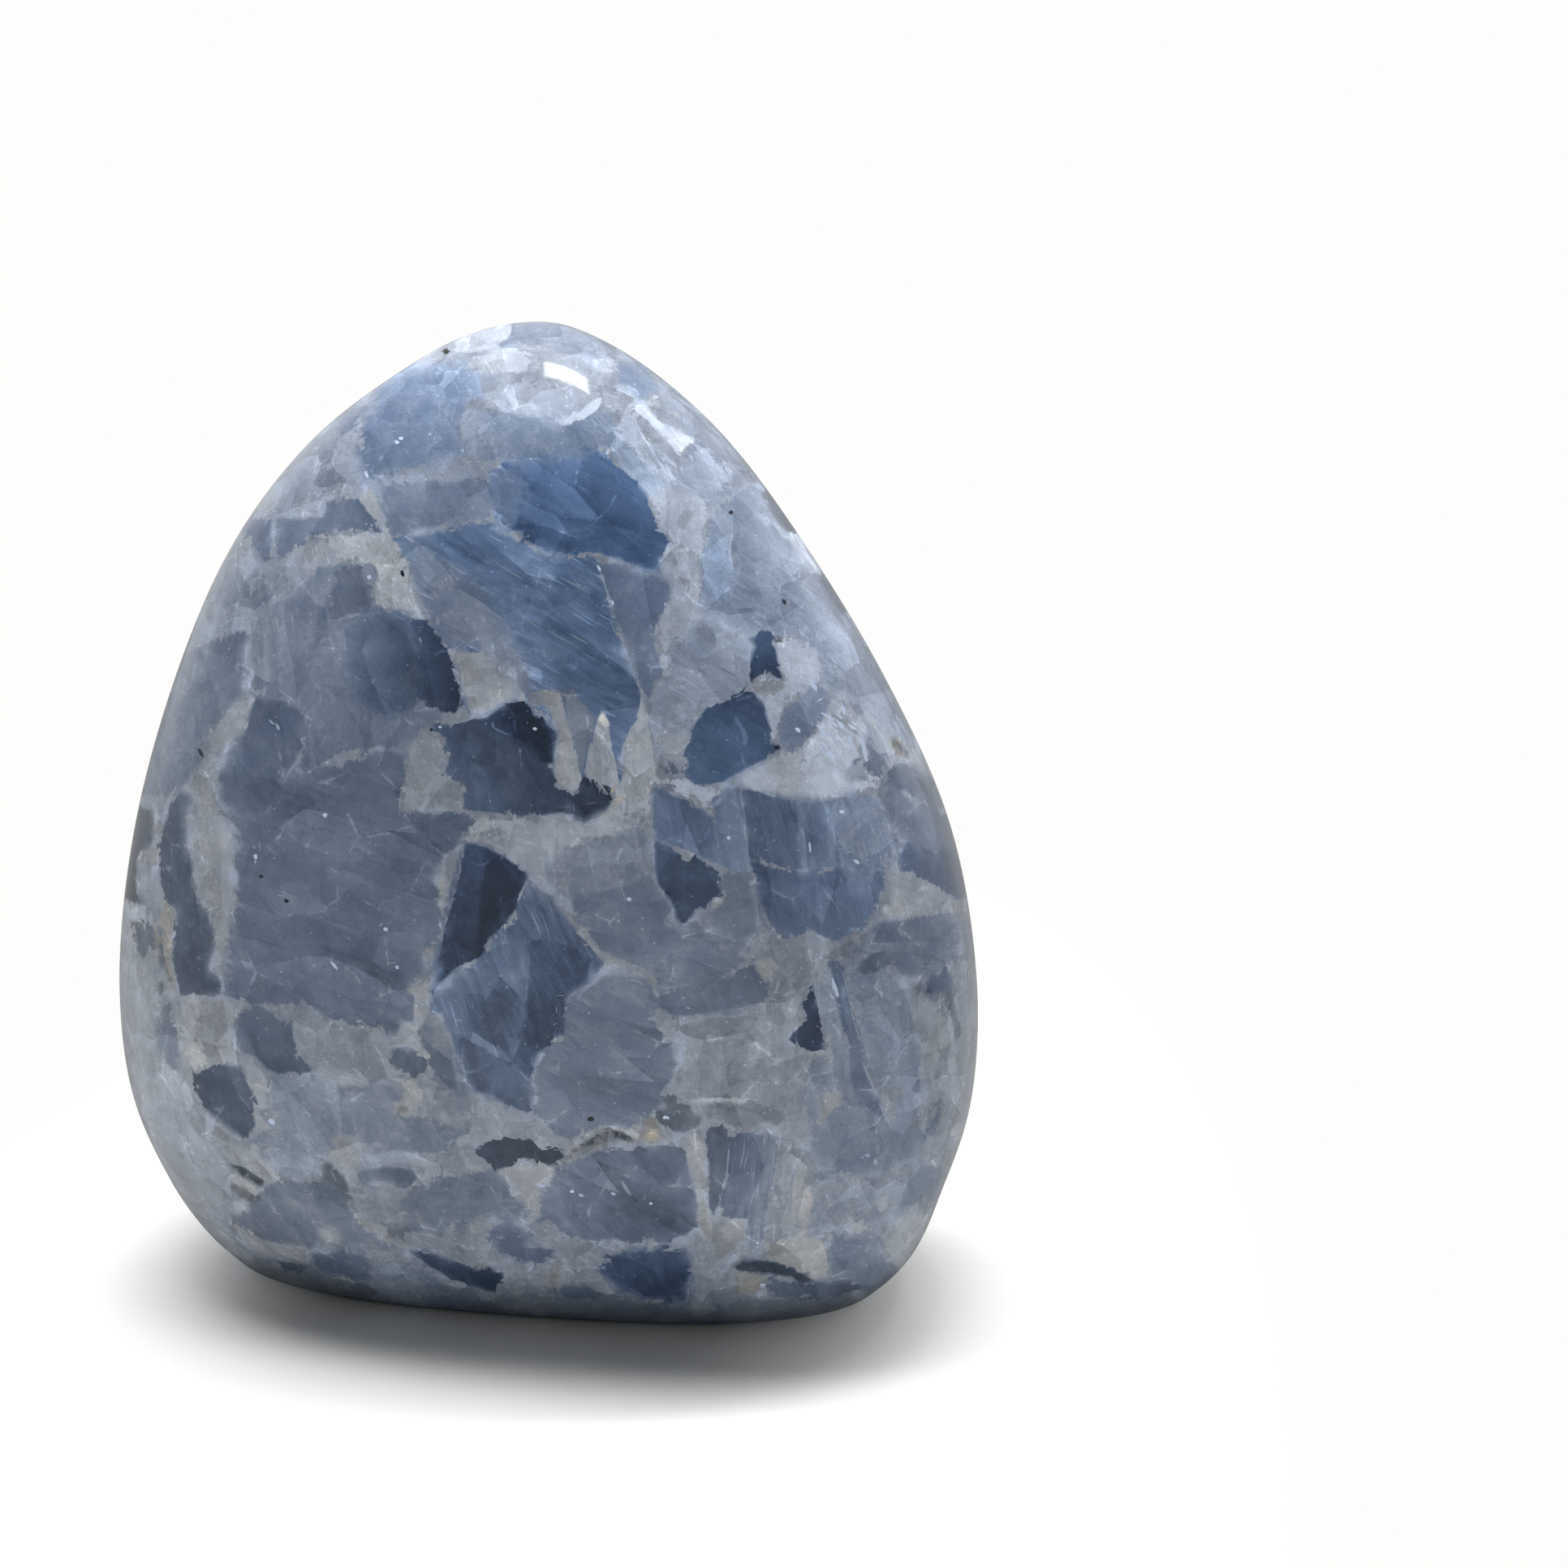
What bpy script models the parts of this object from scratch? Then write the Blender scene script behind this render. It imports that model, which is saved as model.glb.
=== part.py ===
"""A free-form stone of blue calcite, hand polished all over and sawn flat underneath so that it stands.

Metres, +Z up. The origin is on the table, under the middle of the stone. The broad polished face looks
towards -Y, and the stone's width runs along X.
"""

import bmesh
import bpy
from mathutils import Vector, noise

MM = 0.001

# Driving sizes of the stone, in millimetres.
HEIGHT = 120.0
WIDTH = 109.0
THICKNESS = 58.0

# The four outlines of the stone, read at level cuts from the saw cut to the tip. A row holds the height of
# the cut as a share of HEIGHT, the reach to the left and to the right as shares of half the WIDTH, and the
# reach to the front and to the back as shares of half the THICKNESS. The first row is the curve that the
# saw cut took away: it only steers the curve through the row above it.
OUTLINES = (
    (-0.050, 0.69, 0.63, 0.38, 0.34),
    (0.000, 0.765, 0.78, 0.58, 0.55),
    (0.050, 0.85, 0.88, 0.74, 0.71),
    (0.117, 0.925, 0.94, 0.86, 0.845),
    (0.217, 0.99, 1.00, 0.965, 0.965),
    (0.350, 0.99, 1.00, 1.00, 1.00),
    (0.500, 0.93, 0.93, 0.95, 0.965),
    (0.650, 0.815, 0.775, 0.845, 0.88),
    (0.783, 0.67, 0.595, 0.705, 0.74),
    (0.883, 0.49, 0.43, 0.53, 0.57),
    (0.950, 0.29, 0.27, 0.345, 0.36),
    (0.988, 0.13, 0.13, 0.17, 0.17),
    (1.000, -0.02, 0.02, 0.00, 0.00),
)
BASE_ROW = 1
SHOULDER_ROW = 8.6
TIP_ROW = len(OUTLINES) - 1

# A level cut is an ellipse with slightly squared ends: 2 would be a true ellipse.
SQUARENESS = 2.6

# Cells of the grid that covers the stone, across its width, its thickness and its height.
CELLS_ACROSS = 30
CELLS_DEEP = 18
CELLS_UP = 36

# The arris round the saw cut is broken with a small rounding.
ARRIS = 0.9 * MM
ARRIS_STEPS = 2

# Polishing by hand leaves the surface a little uneven: the height and length of those waves, and the
# height over the table at which they reach their full size.
WAVE_HEIGHT = 0.25 * MM
WAVE_LENGTH = 33.0 * MM
WAVE_START = 12.0 * MM

POLISHED_BLUE = (0.17, 0.24, 0.40, 1.0)
POLISH_ROUGHNESS = 0.18


def clear_scene():
    for obj in list(bpy.data.objects):
        bpy.data.objects.remove(obj, do_unlink=True)


def level_cut(row):
    """Height, middle and half size of one level cut, from its row of outline shares."""
    height, left, right, front, back = row
    half_width = WIDTH / 2 * MM
    half_thickness = THICKNESS / 2 * MM
    return Vector((
        height * HEIGHT * MM,
        (right - left) / 2 * half_width,
        (right + left) / 2 * half_width,
        (back - front) / 2 * half_thickness,
        (back + front) / 2 * half_thickness,
    ))


def past_the_tip(cut):
    """The cut below the tip as a curve that runs over the tip meets it again: on the other side."""
    height, middle_x, half_x, middle_y, half_y = cut
    return Vector((height, middle_x, -half_x, middle_y, -half_y))


def cut_at(row):
    """The level cut at any place between two rows, on a Catmull-Rom curve through all of them."""
    cuts = [level_cut(shares) for shares in OUTLINES]
    cuts.append(past_the_tip(cuts[TIP_ROW - 1]))
    below = min(int(row), TIP_ROW - 1)
    t = row - below
    before, start, end, after = (cuts[max(below + step, 0)] for step in (-1, 0, 1, 2))
    return 0.5 * (
        2 * start
        + (end - before) * t
        + (2 * before - 5 * start + 4 * end - after) * t ** 2
        + (3 * start - before - 3 * end + after) * t ** 3
    )


def place_on_stone(corner):
    """Moves a point of the cube from -1 to 1 to its place on the stone.

    The cube's bottom becomes the saw cut, its four sides the flanks, and its top the dome over them.
    """
    ring = max(abs(corner.x), abs(corner.y))
    if corner.z > 1 - 1e-6:
        row = TIP_ROW + (SHOULDER_ROW - TIP_ROW) * ring
        spread = 1.0
    else:
        row = BASE_ROW + (SHOULDER_ROW - BASE_ROW) * (corner.z + 1) / 2
        spread = ring
    height, middle_x, half_x, middle_y, half_y = cut_at(row)
    if ring < 1e-6:
        return Vector((middle_x, middle_y, height))
    across, deep = corner.x / ring, corner.y / ring
    rim = (abs(across) ** SQUARENESS + abs(deep) ** SQUARENESS) ** (-1 / SQUARENESS)
    return Vector((
        middle_x + across * rim * half_x * spread,
        middle_y + deep * rim * half_y * spread,
        height,
    ))


def subdivided_cube():
    """A cube from -1 to 1 with its own number of cells along each axis."""
    bm = bmesh.new()
    bmesh.ops.create_cube(bm, size=2.0)
    for axis, cells in enumerate((CELLS_ACROSS, CELLS_DEEP, CELLS_UP)):
        along = [
            edge for edge in bm.edges
            if abs(edge.verts[0].co[axis] - edge.verts[1].co[axis]) > 1.0
        ]
        bmesh.ops.subdivide_edges(bm, edges=along, cuts=cells - 1, use_grid_fill=True)
    return bm


def break_arris(bm):
    """Rounds the sharp edge where the flanks meet the saw cut."""
    rim = [
        edge for edge in bm.edges
        if any(face.normal.z < -0.999 for face in edge.link_faces)
        and not all(face.normal.z < -0.999 for face in edge.link_faces)
    ]
    bmesh.ops.bevel(
        bm,
        geom=rim,
        offset=ARRIS,
        segments=ARRIS_STEPS,
        profile=0.5,
        affect="EDGES",
        clamp_overlap=True,
    )


def leave_polishing_waves(bm):
    """Pushes the surface in and out by the unevenness that polishing by hand leaves."""
    bm.normal_update()
    moves = []
    for vert in bm.verts:
        wave = noise.noise(vert.co / WAVE_LENGTH)
        clear_of_cut = min(max(vert.co.z / WAVE_START, 0.0), 1.0)
        moves.append((vert, vert.normal * wave * WAVE_HEIGHT * clear_of_cut))
    for vert, move in moves:
        vert.co += move


def centre_on_origin(bm):
    """Sets the middle of the stone's box over the origin, with the saw cut on the table."""
    across = [vert.co.x for vert in bm.verts]
    deep = [vert.co.y for vert in bm.verts]
    middle = Vector((
        (min(across) + max(across)) / 2,
        (min(deep) + max(deep)) / 2,
        min(vert.co.z for vert in bm.verts),
    ))
    bmesh.ops.translate(bm, verts=bm.verts, vec=-middle)


def polished_calcite():
    material = bpy.data.materials.new("polished_calcite")
    material.use_nodes = True
    shader = material.node_tree.nodes["Principled BSDF"]
    shader.inputs["Base Color"].default_value = POLISHED_BLUE
    shader.inputs["Roughness"].default_value = POLISH_ROUGHNESS
    shader.inputs["Metallic"].default_value = 0.0
    return material


def make_stone():
    bm = subdivided_cube()
    for vert in bm.verts:
        vert.co = place_on_stone(vert.co)
    bm.normal_update()
    break_arris(bm)
    leave_polishing_waves(bm)
    centre_on_origin(bm)
    mesh = bpy.data.meshes.new("stone")
    bm.to_mesh(mesh)
    bm.free()
    mesh.shade_smooth()
    mesh.materials.append(polished_calcite())
    return bpy.data.objects.new("stone", mesh)


def main():
    clear_scene()
    collection = bpy.data.collections.new("blue_calcite")
    bpy.context.scene.collection.children.link(collection)
    collection.objects.link(make_stone())


main()
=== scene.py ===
# %% [markdown]
# # A polished free form of blue calcite
#
# The real piece is one stone, taken to be about 12 cm tall, ground to a leaning egg shape, polished to a
# shine and sawn flat underneath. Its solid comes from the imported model. This lesson gives that solid its
# looks: the crystals that the polish cuts through, the pale seams between them, the gloss, and the light.

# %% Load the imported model
import math

import bpy
import numpy as np
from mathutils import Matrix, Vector
from mathutils.kdtree import KDTree


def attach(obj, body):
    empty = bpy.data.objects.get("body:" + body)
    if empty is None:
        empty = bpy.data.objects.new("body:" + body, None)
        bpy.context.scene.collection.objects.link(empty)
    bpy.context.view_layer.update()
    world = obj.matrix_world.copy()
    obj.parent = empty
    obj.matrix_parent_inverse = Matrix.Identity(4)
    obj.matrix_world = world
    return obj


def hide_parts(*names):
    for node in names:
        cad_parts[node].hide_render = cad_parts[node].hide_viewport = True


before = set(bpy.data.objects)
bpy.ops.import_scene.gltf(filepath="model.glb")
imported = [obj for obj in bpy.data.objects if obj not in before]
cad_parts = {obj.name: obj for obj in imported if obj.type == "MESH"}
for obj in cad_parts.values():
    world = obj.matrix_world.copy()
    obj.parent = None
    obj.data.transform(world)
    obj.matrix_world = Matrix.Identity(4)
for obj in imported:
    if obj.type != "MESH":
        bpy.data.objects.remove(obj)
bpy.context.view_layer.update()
MM = 0.001

# %% [markdown]
# ## The camera
#
# A camera can be placed by eye or by measuring. Here the lens is taken to be 45 mm, and 65 points were read
# off the stone's outline in the photograph. The camera stands where the solid's outline fits them best:
# 11.5 cm above the floor, a little to the right of the stone, looking slightly down. It comes before the
# looks, because the crystals are drawn as the camera sees them.

# %% Set up the camera
PICTURE_SIDE = 1932
LENS = 45.0
SENSOR = 36.0
CAMERA_PLACE = Vector((65.57, -232.04, 114.74)) * MM
CAMERA_TURN = math.radians(8.62)
CAMERA_DIP = math.radians(12.03)

bpy.ops.object.select_all(action="DESELECT")
bpy.ops.object.camera_add(location=CAMERA_PLACE, rotation=(math.pi / 2 - CAMERA_DIP, 0, CAMERA_TURN))
camera = bpy.context.object
camera.data.lens = LENS
camera.data.sensor_width = SENSOR
camera.data.clip_start = 0.01
bpy.context.scene.camera = camera
bpy.context.view_layer.update()
FOCAL_PIXELS = LENS / SENSOR * PICTURE_SIDE
print("focal length in picture points:", round(FOCAL_PIXELS))

# %% [markdown]
# ## Drawing the crystals
#
# Each call below is one crystal, drawn from the bottom layer to the top: its name, its outline on the sheet,
# its lightness from one end to the other and the way that it runs (0 is to the right, 90 is down), and how
# blue it is. The rest is how ragged its edge is, the way and strength of its cleavage lines, how pale a seam
# it has, how soft its edge is and how many glinting flakes it holds. An image would give the same picture
# only from here and blur up close. Outlines keep sharp edges at any distance, and each one can be changed by
# hand. This first cell has the broad pieces of the left side.

# %% Draw the zones on the left
drawn = []


def crystal(name, outline, tones, blue, ragged=3.0, lines=(60, 0.3), seam=0.0, soft=1.5, glint=0.0):
    corners = np.array([[float(n) for n in pair.split(",")] for pair in outline.split()])
    drawn.append(dict(name=name, corners=corners, tones=tones, blue=blue, ragged=ragged, lines=lines,
                      seam=seam, soft=soft, glint=glint))


crystal("left shoulder", "500,455 478,478 457,505 445,530 441,600 400,614 345,634 316,640 322,618 349,580 "
        "383,541 427,503 465,475", (0.59, 0.54, 130), 0.34, soft=5)
crystal("shoulder strip", "470,478 447,505 440,532 420,532 425,512 442,492 462,478", (0.55, 0.55, 0), 0.45)
crystal("left upper flank", "325,695 343,691 362,675 380,662 402,664 420,690 414,715 402,750 390,790 "
        "370,800 350,812 322,850 305,855 303,800 312,760 317,720", (0.62, 0.56, 30), 0.22, lines=(80, 0.6),
        soft=6)
crystal("left rim flank", "283,690 300,700 312,690 320,697 313,730 306,775 285,780 262,788 238,799 250,736 "
        "274,694", (0.53, 0.60, 20), 0.35, lines=(75, 0.5))
crystal("dim left flank", "238,799 262,788 285,780 302,779 303,800 302,840 298,855 280,880 262,900 255,925 "
        "248,942 235,962 222,972 205,982 180,990 182,945 196,900 211,847", (0.45, 0.52, 130), 0.42,
        lines=(75, 0.4))
crystal("cloudy upper left", "423,695 455,690 462,702 465,714 460,722 460,742 472,748 478,754 500,756 "
        "512,765 530,790 540,850 545,880 530,893 515,900 505,910 490,922 475,925 465,920 440,922 420,930 "
        "400,935 378,955 362,947 372,925 374,880 365,870 340,862 318,862 303,856 303,800 320,760 350,740 "
        "390,700", (0.51, 0.47, 60), 0.48, lines=(85, 0.5), soft=2)
crystal("dull centre left", "308,868 325,862 350,866 372,876 374,900 370,930 361,947 378,952 400,945 "
        "440,933 465,924 490,924 503,930 497,960 494,1000 520,1002 570,1002 590,1010 572,1030 560,1046 "
        "547,1060 537,1085 540,1110 548,1130 540,1160 527,1165 522,1180 530,1200 520,1208 505,1215 512,1228 "
        "511,1260 495,1262 490,1280 480,1280 470,1268 440,1265 415,1262 400,1250 380,1240 345,1235 318,1238 "
        "290,1235 275,1225 273,1205 262,1198 270,1180 275,1150 285,1120 290,1080 285,1030 265,1010 264,980 "
        "270,950 283,915 297,905 302,885", (0.45, 0.43, 40), 0.52, lines=(20, 0.5), seam=0.3)
crystal("lower left zone", "330,1325 400,1322 415,1335 420,1370 418,1400 405,1420 395,1445 380,1455 "
        "350,1450 320,1430 290,1405 312,1400 318,1390 345,1395 338,1370 330,1350", (0.54, 0.56, 90), 0.42)
crystal("lower left shelf", "412,1335 440,1334 480,1334 490,1345 495,1360 488,1368 500,1375 540,1380 "
        "570,1395 560,1415 530,1420 490,1418 460,1425 445,1420 440,1400 420,1400 418,1360", (0.47, 0.53, 20),
        0.40, seam=0.3)
crystal("grey shelf", "362,1262 400,1255 440,1267 468,1268 480,1285 485,1310 490,1328 470,1332 430,1330 "
        "410,1325 385,1318 372,1300 362,1280", (0.58, 0.55, 0), 0.25)
crystal("smoke", "566,545 568,520 580,508 600,504 615,507 635,498 650,511 690,523 668,532 645,552 615,562 "
        "605,573 590,566 572,562", (0.61, 0.55, 60), 0.46, seam=0.3)
crystal("shelf light", "500,580 560,568 600,575 612,592 560,594 500,597 470,601 480,590", (0.60, 0.58, 0),
        0.40)
print("crystals so far:", len(drawn))

# %% [markdown]
# Above the middle lie the clear crystals that the eye finds first: a blue field, striped by its cleavage, and
# the flank to its right. Neighbours are drawn up to each other or a little over each other, so that no gap
# is left, and the later one gives the edge.

# %% Draw the zones above the middle
crystal("striped field", "478,662 520,657 560,648 604,640 615,650 640,665 660,680 700,686 738,686 745,720 "
        "752,745 760,775 770,800 782,830 790,860 797,890 802,920 805,945 808,960 800,968 720,962 712,970 "
        "705,976 692,972 683,960 680,945 683,925 690,910 684,898 672,888 660,878 650,866 640,864 625,870 "
        "608,880 598,885 580,884 572,880 570,870 568,850 562,835 556,820 555,805 545,795 530,770 518,750 "
        "508,720 500,690", (0.47, 0.42, -25), 0.95, lines=(28, 1.0), seam=0.3)
crystal("pale block", "500,690 520,745 545,790 556,800 580,802 600,799 631,801 636,815 642,835 651,869 "
        "640,864 625,868 605,880 585,884 576,876 571,852 563,828 556,808 530,775 512,748", (0.52, 0.66, 45),
        0.15, lines=(0, 0.5), ragged=1.5)
crystal("faded blue", "500,690 545,690 590,720 625,770 628,797 600,799 560,795 545,790 520,745",
        (0.50, 0.47, 40), 0.50, ragged=2, lines=(28, 0.6), soft=14)
crystal("blue beside the edge", "738,698 762,690 795,703 812,703 825,715 830,735 815,760 812,790 818,830 "
        "805,850 800,868 790,850 782,830 770,800 760,775 752,745 745,720", (0.43, 0.49, 20), 0.65,
        lines=(70, 0.3))
crystal("grey blue middle", "850,765 865,762 890,770 915,783 925,795 922,830 918,848 900,860 880,868 "
        "862,880 850,895 848,915 842,925 843,935 825,938 808,930 803,900 800,870 805,850 818,835 825,800 "
        "830,790 842,785", (0.58, 0.57, -50), 0.42, lines=(35, 0.7), seam=0.3)
crystal("bright flank", "870,640 895,615 930,590 950,612 1000,685 1040,745 1060,775 1110,860 1140,925 "
        "1125,925 1100,905 1075,880 1040,862 1020,845 1010,815 998,800 980,783 955,787 938,776 925,786 "
        "910,782 895,772 880,762 862,757 865,700 868,665", (0.54, 0.56, 10), 0.50, lines=(35, 0.5))
crystal("high flank", "700,398 753,422 807,458 857,503 899,545 944,599 930,592 905,610 880,625 860,612 "
        "840,605 822,598 835,580 845,553 857,542 830,512 812,485 790,458 765,442 735,430 710,415",
        (0.57, 0.56, 45), 0.42)
# The flashing flank holds painted glints, where its flakes catch the light.
crystal("flashing flank", "1026,862 1040,866 1060,885 1068,900 1068,915 1060,930 1050,942 1040,950 1036,957 "
        "1028,943 1010,932 985,930 975,930 990,918 1005,900 1018,878", (0.62, 0.66, 90), 0.25,
        lines=(45, 0.5), glint=0.35)
crystal("pale flank", "955,790 975,785 990,790 1005,805 1013,822 1005,840 990,852 975,860 965,868 960,890 "
        "955,905 953,917 949,905 948,893 944,878 940,865 930,853 926,846 935,832 950,832 966,838 960,820",
        (0.66, 0.66, 0), 0.30)
crystal("blue patch on the flank", "1005,842 1020,850 1027,861 1018,877 1010,890 1000,905 988,919 975,927 "
        "962,922 958,905 962,885 970,870 985,860", (0.52, 0.50, 90), 0.55, seam=0.2, ragged=1.5, soft=1)
crystal("sliver on the flank", "1070,900 1078,915 1090,930 1095,948 1080,956 1065,945 1055,940 1066,925",
        (0.50, 0.47, 90), 0.50)
crystal("pale crescent", "880,966 900,960 925,948 945,936 960,928 985,931 1010,931 1030,941 1040,958 "
        "1050,964 1070,957 1085,955 1082,972 1060,976 1040,982 1015,985 990,986 965,983 940,978 910,970 "
        "895,966", (0.71, 0.71, 0), 0.22)
crystal("seam under the windows", "803,940 815,957 840,958 860,967 885,967 900,965 890,976 876,988 868,997 "
        "850,987 830,978 815,969 803,966", (0.70, 0.70, 0), 0.28)
print("crystals so far:", len(drawn))

# %% [markdown]
# Below the middle the stone is more broken, and its crystals are greyer. The broad and quiet ones come first.
# What stands out against them comes later, over them.

# %% Draw the zones below the middle
crystal("lavender centre", "675,1045 700,1040 730,1035 760,1027 790,1012 800,1030 805,1055 805,1075 "
        "785,1085 760,1090 740,1100 715,1110 700,1105 680,1100 672,1085 670,1060", (0.55, 0.50, 80), 0.38,
        lines=(75, 0.5))
crystal("slate centre right", "700,1107 740,1098 770,1090 802,1078 815,1100 825,1115 830,1132 840,1141 "
        "857,1135 870,1150 885,1168 905,1172 915,1182 900,1200 880,1210 850,1215 830,1215 812,1220 800,1200 "
        "780,1195 760,1190 745,1182 730,1160 715,1135", (0.46, 0.46, 30), 0.50, lines=(15, 0.4))
crystal("lower slate", "812,1222 840,1215 880,1208 915,1195 932,1190 940,1205 952,1216 948,1228 930,1238 "
        "900,1246 860,1252 830,1252 815,1246 805,1250", (0.43, 0.44, 0), 0.50)
crystal("under the triangle", "652,1082 665,1090 680,1100 690,1115 705,1130 720,1150 735,1170 747,1185 "
        "740,1197 728,1210 710,1220 702,1228 698,1240 695,1250 690,1262 692,1275 680,1285 668,1298 660,1315 "
        "655,1335 658,1350 650,1374 636,1368 610,1352 585,1345 575,1330 563,1300 555,1275 545,1255 530,1240 "
        "530,1225 552,1205 570,1192 590,1180 600,1162 612,1148 630,1132 640,1110 646,1095",
        (0.43, 0.41, -10), 0.80, ragged=4, lines=(68, 1.0), seam=0.1, soft=1)
crystal("left of the lower blue", "527,1240 545,1255 557,1280 566,1305 577,1332 590,1347 570,1350 548,1345 "
        "530,1325 527,1300 520,1275 512,1270 522,1255", (0.50, 0.47, 60), 0.35)
crystal("fringed patch", "702,1228 712,1222 728,1212 742,1201 755,1198 770,1195 785,1200 798,1205 808,1220 "
        "812,1240 800,1256 815,1275 830,1288 835,1310 830,1330 820,1345 812,1362 800,1374 790,1385 775,1388 "
        "760,1388 740,1386 715,1397 700,1405 690,1400 680,1388 665,1382 652,1380 655,1365 662,1350 655,1335 "
        "660,1315 670,1298 682,1285 694,1276 690,1262 696,1245", (0.47, 0.46, 60), 0.50, lines=(25, 0.4),
        seam=0.5)
crystal("lower blue patch", "700,1434 725,1422 760,1415 800,1411 830,1412 845,1420 850,1440 856,1460 "
        "863,1490 860,1512 845,1522 825,1528 790,1530 760,1528 730,1530 700,1525 680,1511 664,1502 655,1492 "
        "662,1470 675,1450 685,1438", (0.43, 0.40, -50), 0.5, lines=(40, 0.5), seam=0.2, soft=1)
print("crystals so far:", len(drawn))

# %% [markdown]
# At the rim and the foot the surface turns away, and a crystal shows as a narrow strip. Its outline may run
# over the rim: further on, the points near it are pulled outwards, and the strip goes on round the side.

# %% Draw the zones at the rim and the foot
crystal("left rim pale", "153,1084 166,1085 170,1110 182,1118 190,1140 195,1160 197,1190 193,1215 200,1250 "
        "196,1275 205,1300 222,1322 235,1340 242,1360 225,1372 205,1360 190,1380 176,1384 157,1319 148,1244 "
        "147,1206 149,1137", (0.68, 0.67, 60), 0.18, lines=(80, 0.3))
crystal("lower rim left", "160,1330 190,1380 205,1362 225,1374 240,1365 262,1385 265,1400 268,1425 285,1437 "
        "278,1455 275,1480 260,1490 262,1500 285,1520 300,1545 261,1522 226,1480 199,1434 176,1384",
        (0.63, 0.58, 60), 0.22)
crystal("low left blue", "300,1490 330,1460 345,1452 380,1457 400,1450 412,1445 432,1450 437,1480 440,1500 "
        "460,1515 480,1528 500,1540 450,1545 400,1540 375,1538 345,1533 320,1528 300,1515 285,1505",
        (0.44, 0.46, 40), 0.38)
crystal("low belly", "440,1445 460,1460 480,1462 500,1467 520,1458 600,1440 616,1442 628,1460 640,1480 "
        "655,1500 640,1505 600,1500 560,1505 540,1520 500,1520 480,1505 455,1500 440,1485", (0.46, 0.48, 0),
        0.42, lines=(5, 0.4))
crystal("foot left", "310,1545 345,1552 380,1556 400,1568 430,1578 458,1580 500,1605 550,1609 506,1610 "
        "444,1604 383,1592 337,1579", (0.50, 0.45, 10), 0.25)
crystal("foot shade", "458,1580 480,1574 540,1580 590,1592 640,1600 680,1590 700,1585 740,1590 790,1602 "
        "845,1606 860,1618 880,1612 910,1600 950,1598 1000,1600 1045,1588 1080,1594 1040,1625 990,1640 "
        "930,1645 840,1643 700,1640 600,1633 500,1622", (0.47, 0.45, 0), 0.30, lines=(5, 0.3), soft=3)
crystal("right lower field", "1000,1455 1040,1455 1070,1448 1100,1440 1135,1432 1150,1440 1180,1408 "
        "1165,1450 1150,1480 1120,1485 1100,1500 1090,1520 1060,1522 1020,1525 1003,1500 1003,1475",
        (0.56, 0.52, -20), 0.35)
crystal("right low blue", "1020,1525 1060,1522 1090,1530 1096,1550 1102,1566 1085,1586 1068,1590 1045,1577 "
        "1025,1573 1021,1550", (0.53, 0.47, 80), 0.48, seam=0.3)
crystal("right rim lavender", "1130,1290 1160,1240 1180,1262 1195,1200 1207,1230 1207,1290 1197,1366 "
        "1180,1408 1150,1420 1138,1432 1120,1420 1130,1380 1135,1330", (0.55, 0.62, 0), 0.25,
        lines=(75, 0.3))
crystal("right field", "1000,1300 1020,1298 1030,1350 1050,1366 1080,1362 1098,1392 1130,1385 1140,1400 "
        "1130,1430 1100,1438 1060,1448 1000,1455 992,1440 1000,1400 990,1350", (0.49, 0.51, 0), 0.45,
        lines=(70, 0.3))
print("crystals so far:", len(drawn))

# %% [markdown]
# ## The crystals of the upper half
#
# The tip is a mosaic of thin pale plates, with blue crystals on both sides. Such plates break clean, so they
# get hardly any raggedness and a crisp edge.

# %% Draw the shoulder and the tip
crystal("shoulder blue", "447,598 443,570 444,540 450,515 462,495 478,478 497,464 520,456 545,446 575,450 "
        "590,462 592,490 575,505 566,520 565,545 572,560 560,568 530,574 500,579 485,586 468,592 456,597",
        (0.41, 0.60, -35), 0.70, soft=6, seam=0.15)
crystal("slate sliver", "340,637 372,638 398,636 401,617 444,615 452,628 462,637 470,648 477,658 455,658 "
        "430,657 411,657 405,660 380,661 374,670 362,675 357,683 343,691 337,686 337,670", (0.45, 0.47, 0),
        0.52, seam=0.25, soft=1)
crystal("slate point", "303,660 309,668 315,677 320,687 325,695 335,686 337,671 336,650 334,640 318,640 "
        "308,650 302,655", (0.44, 0.37, 90), 0.55)
crystal("pale rim corner", "316,640 322,622 340,600 345,615 336,638", (0.57, 0.58, 0), 0.20)
crystal("shelf", "455,599 500,596 540,594 600,590 611,596 620,602 625,612 622,622 610,626 605,640 560,646 "
        "500,659 480,660 470,645 463,626 458,612", (0.48, 0.54, 70), 0.55, seam=0.2)
crystal("left seam wedge", "380,661 405,658 430,657 455,658 477,658 470,648 462,636 452,628 444,617 456,599 "
        "466,618 482,660 495,682 500,705 507,722 512,742 523,765 510,767 497,760 485,752 477,753 470,746 "
        "461,742 461,722 466,712 463,700 455,690 440,694 423,695 412,680 402,665", (0.64, 0.71, 80), 0.12,
        lines=(60, 0.6), glint=0.05)
crystal("grey spot", "452,690 459,692 465,705 465,713 459,718 452,705 449,697", (0.42, 0.42, 0), 0.10)
crystal("dim strip", "424,696 445,697 452,712 459,722 458,745 440,790 430,800 385,798 400,765 408,735 "
        "416,712", (0.41, 0.43, 60), 0.46, soft=3)
crystal("pale plate", "500,460 512,446 530,431 548,419 577,407 590,398 578,414 562,436 545,443 525,452 "
        "518,457", (0.64, 0.62, 0), 0.20, ragged=1, soft=0.8)
crystal("white plate", "560,435 577,415 593,402 608,392 638,394 640,403 631,411 624,419 612,423 618,428 "
        "598,431 582,435", (0.68, 0.72, 0), 0.20, glint=0.05, ragged=1, soft=0.8)
crystal("white plate below", "574,448 583,440 601,437 617,430 640,431 665,440 660,455 640,462 628,458 "
        "612,460 600,461 590,458 581,455", (0.66, 0.70, 0), 0.22, glint=0.12, ragged=1, soft=0.8)
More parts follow.
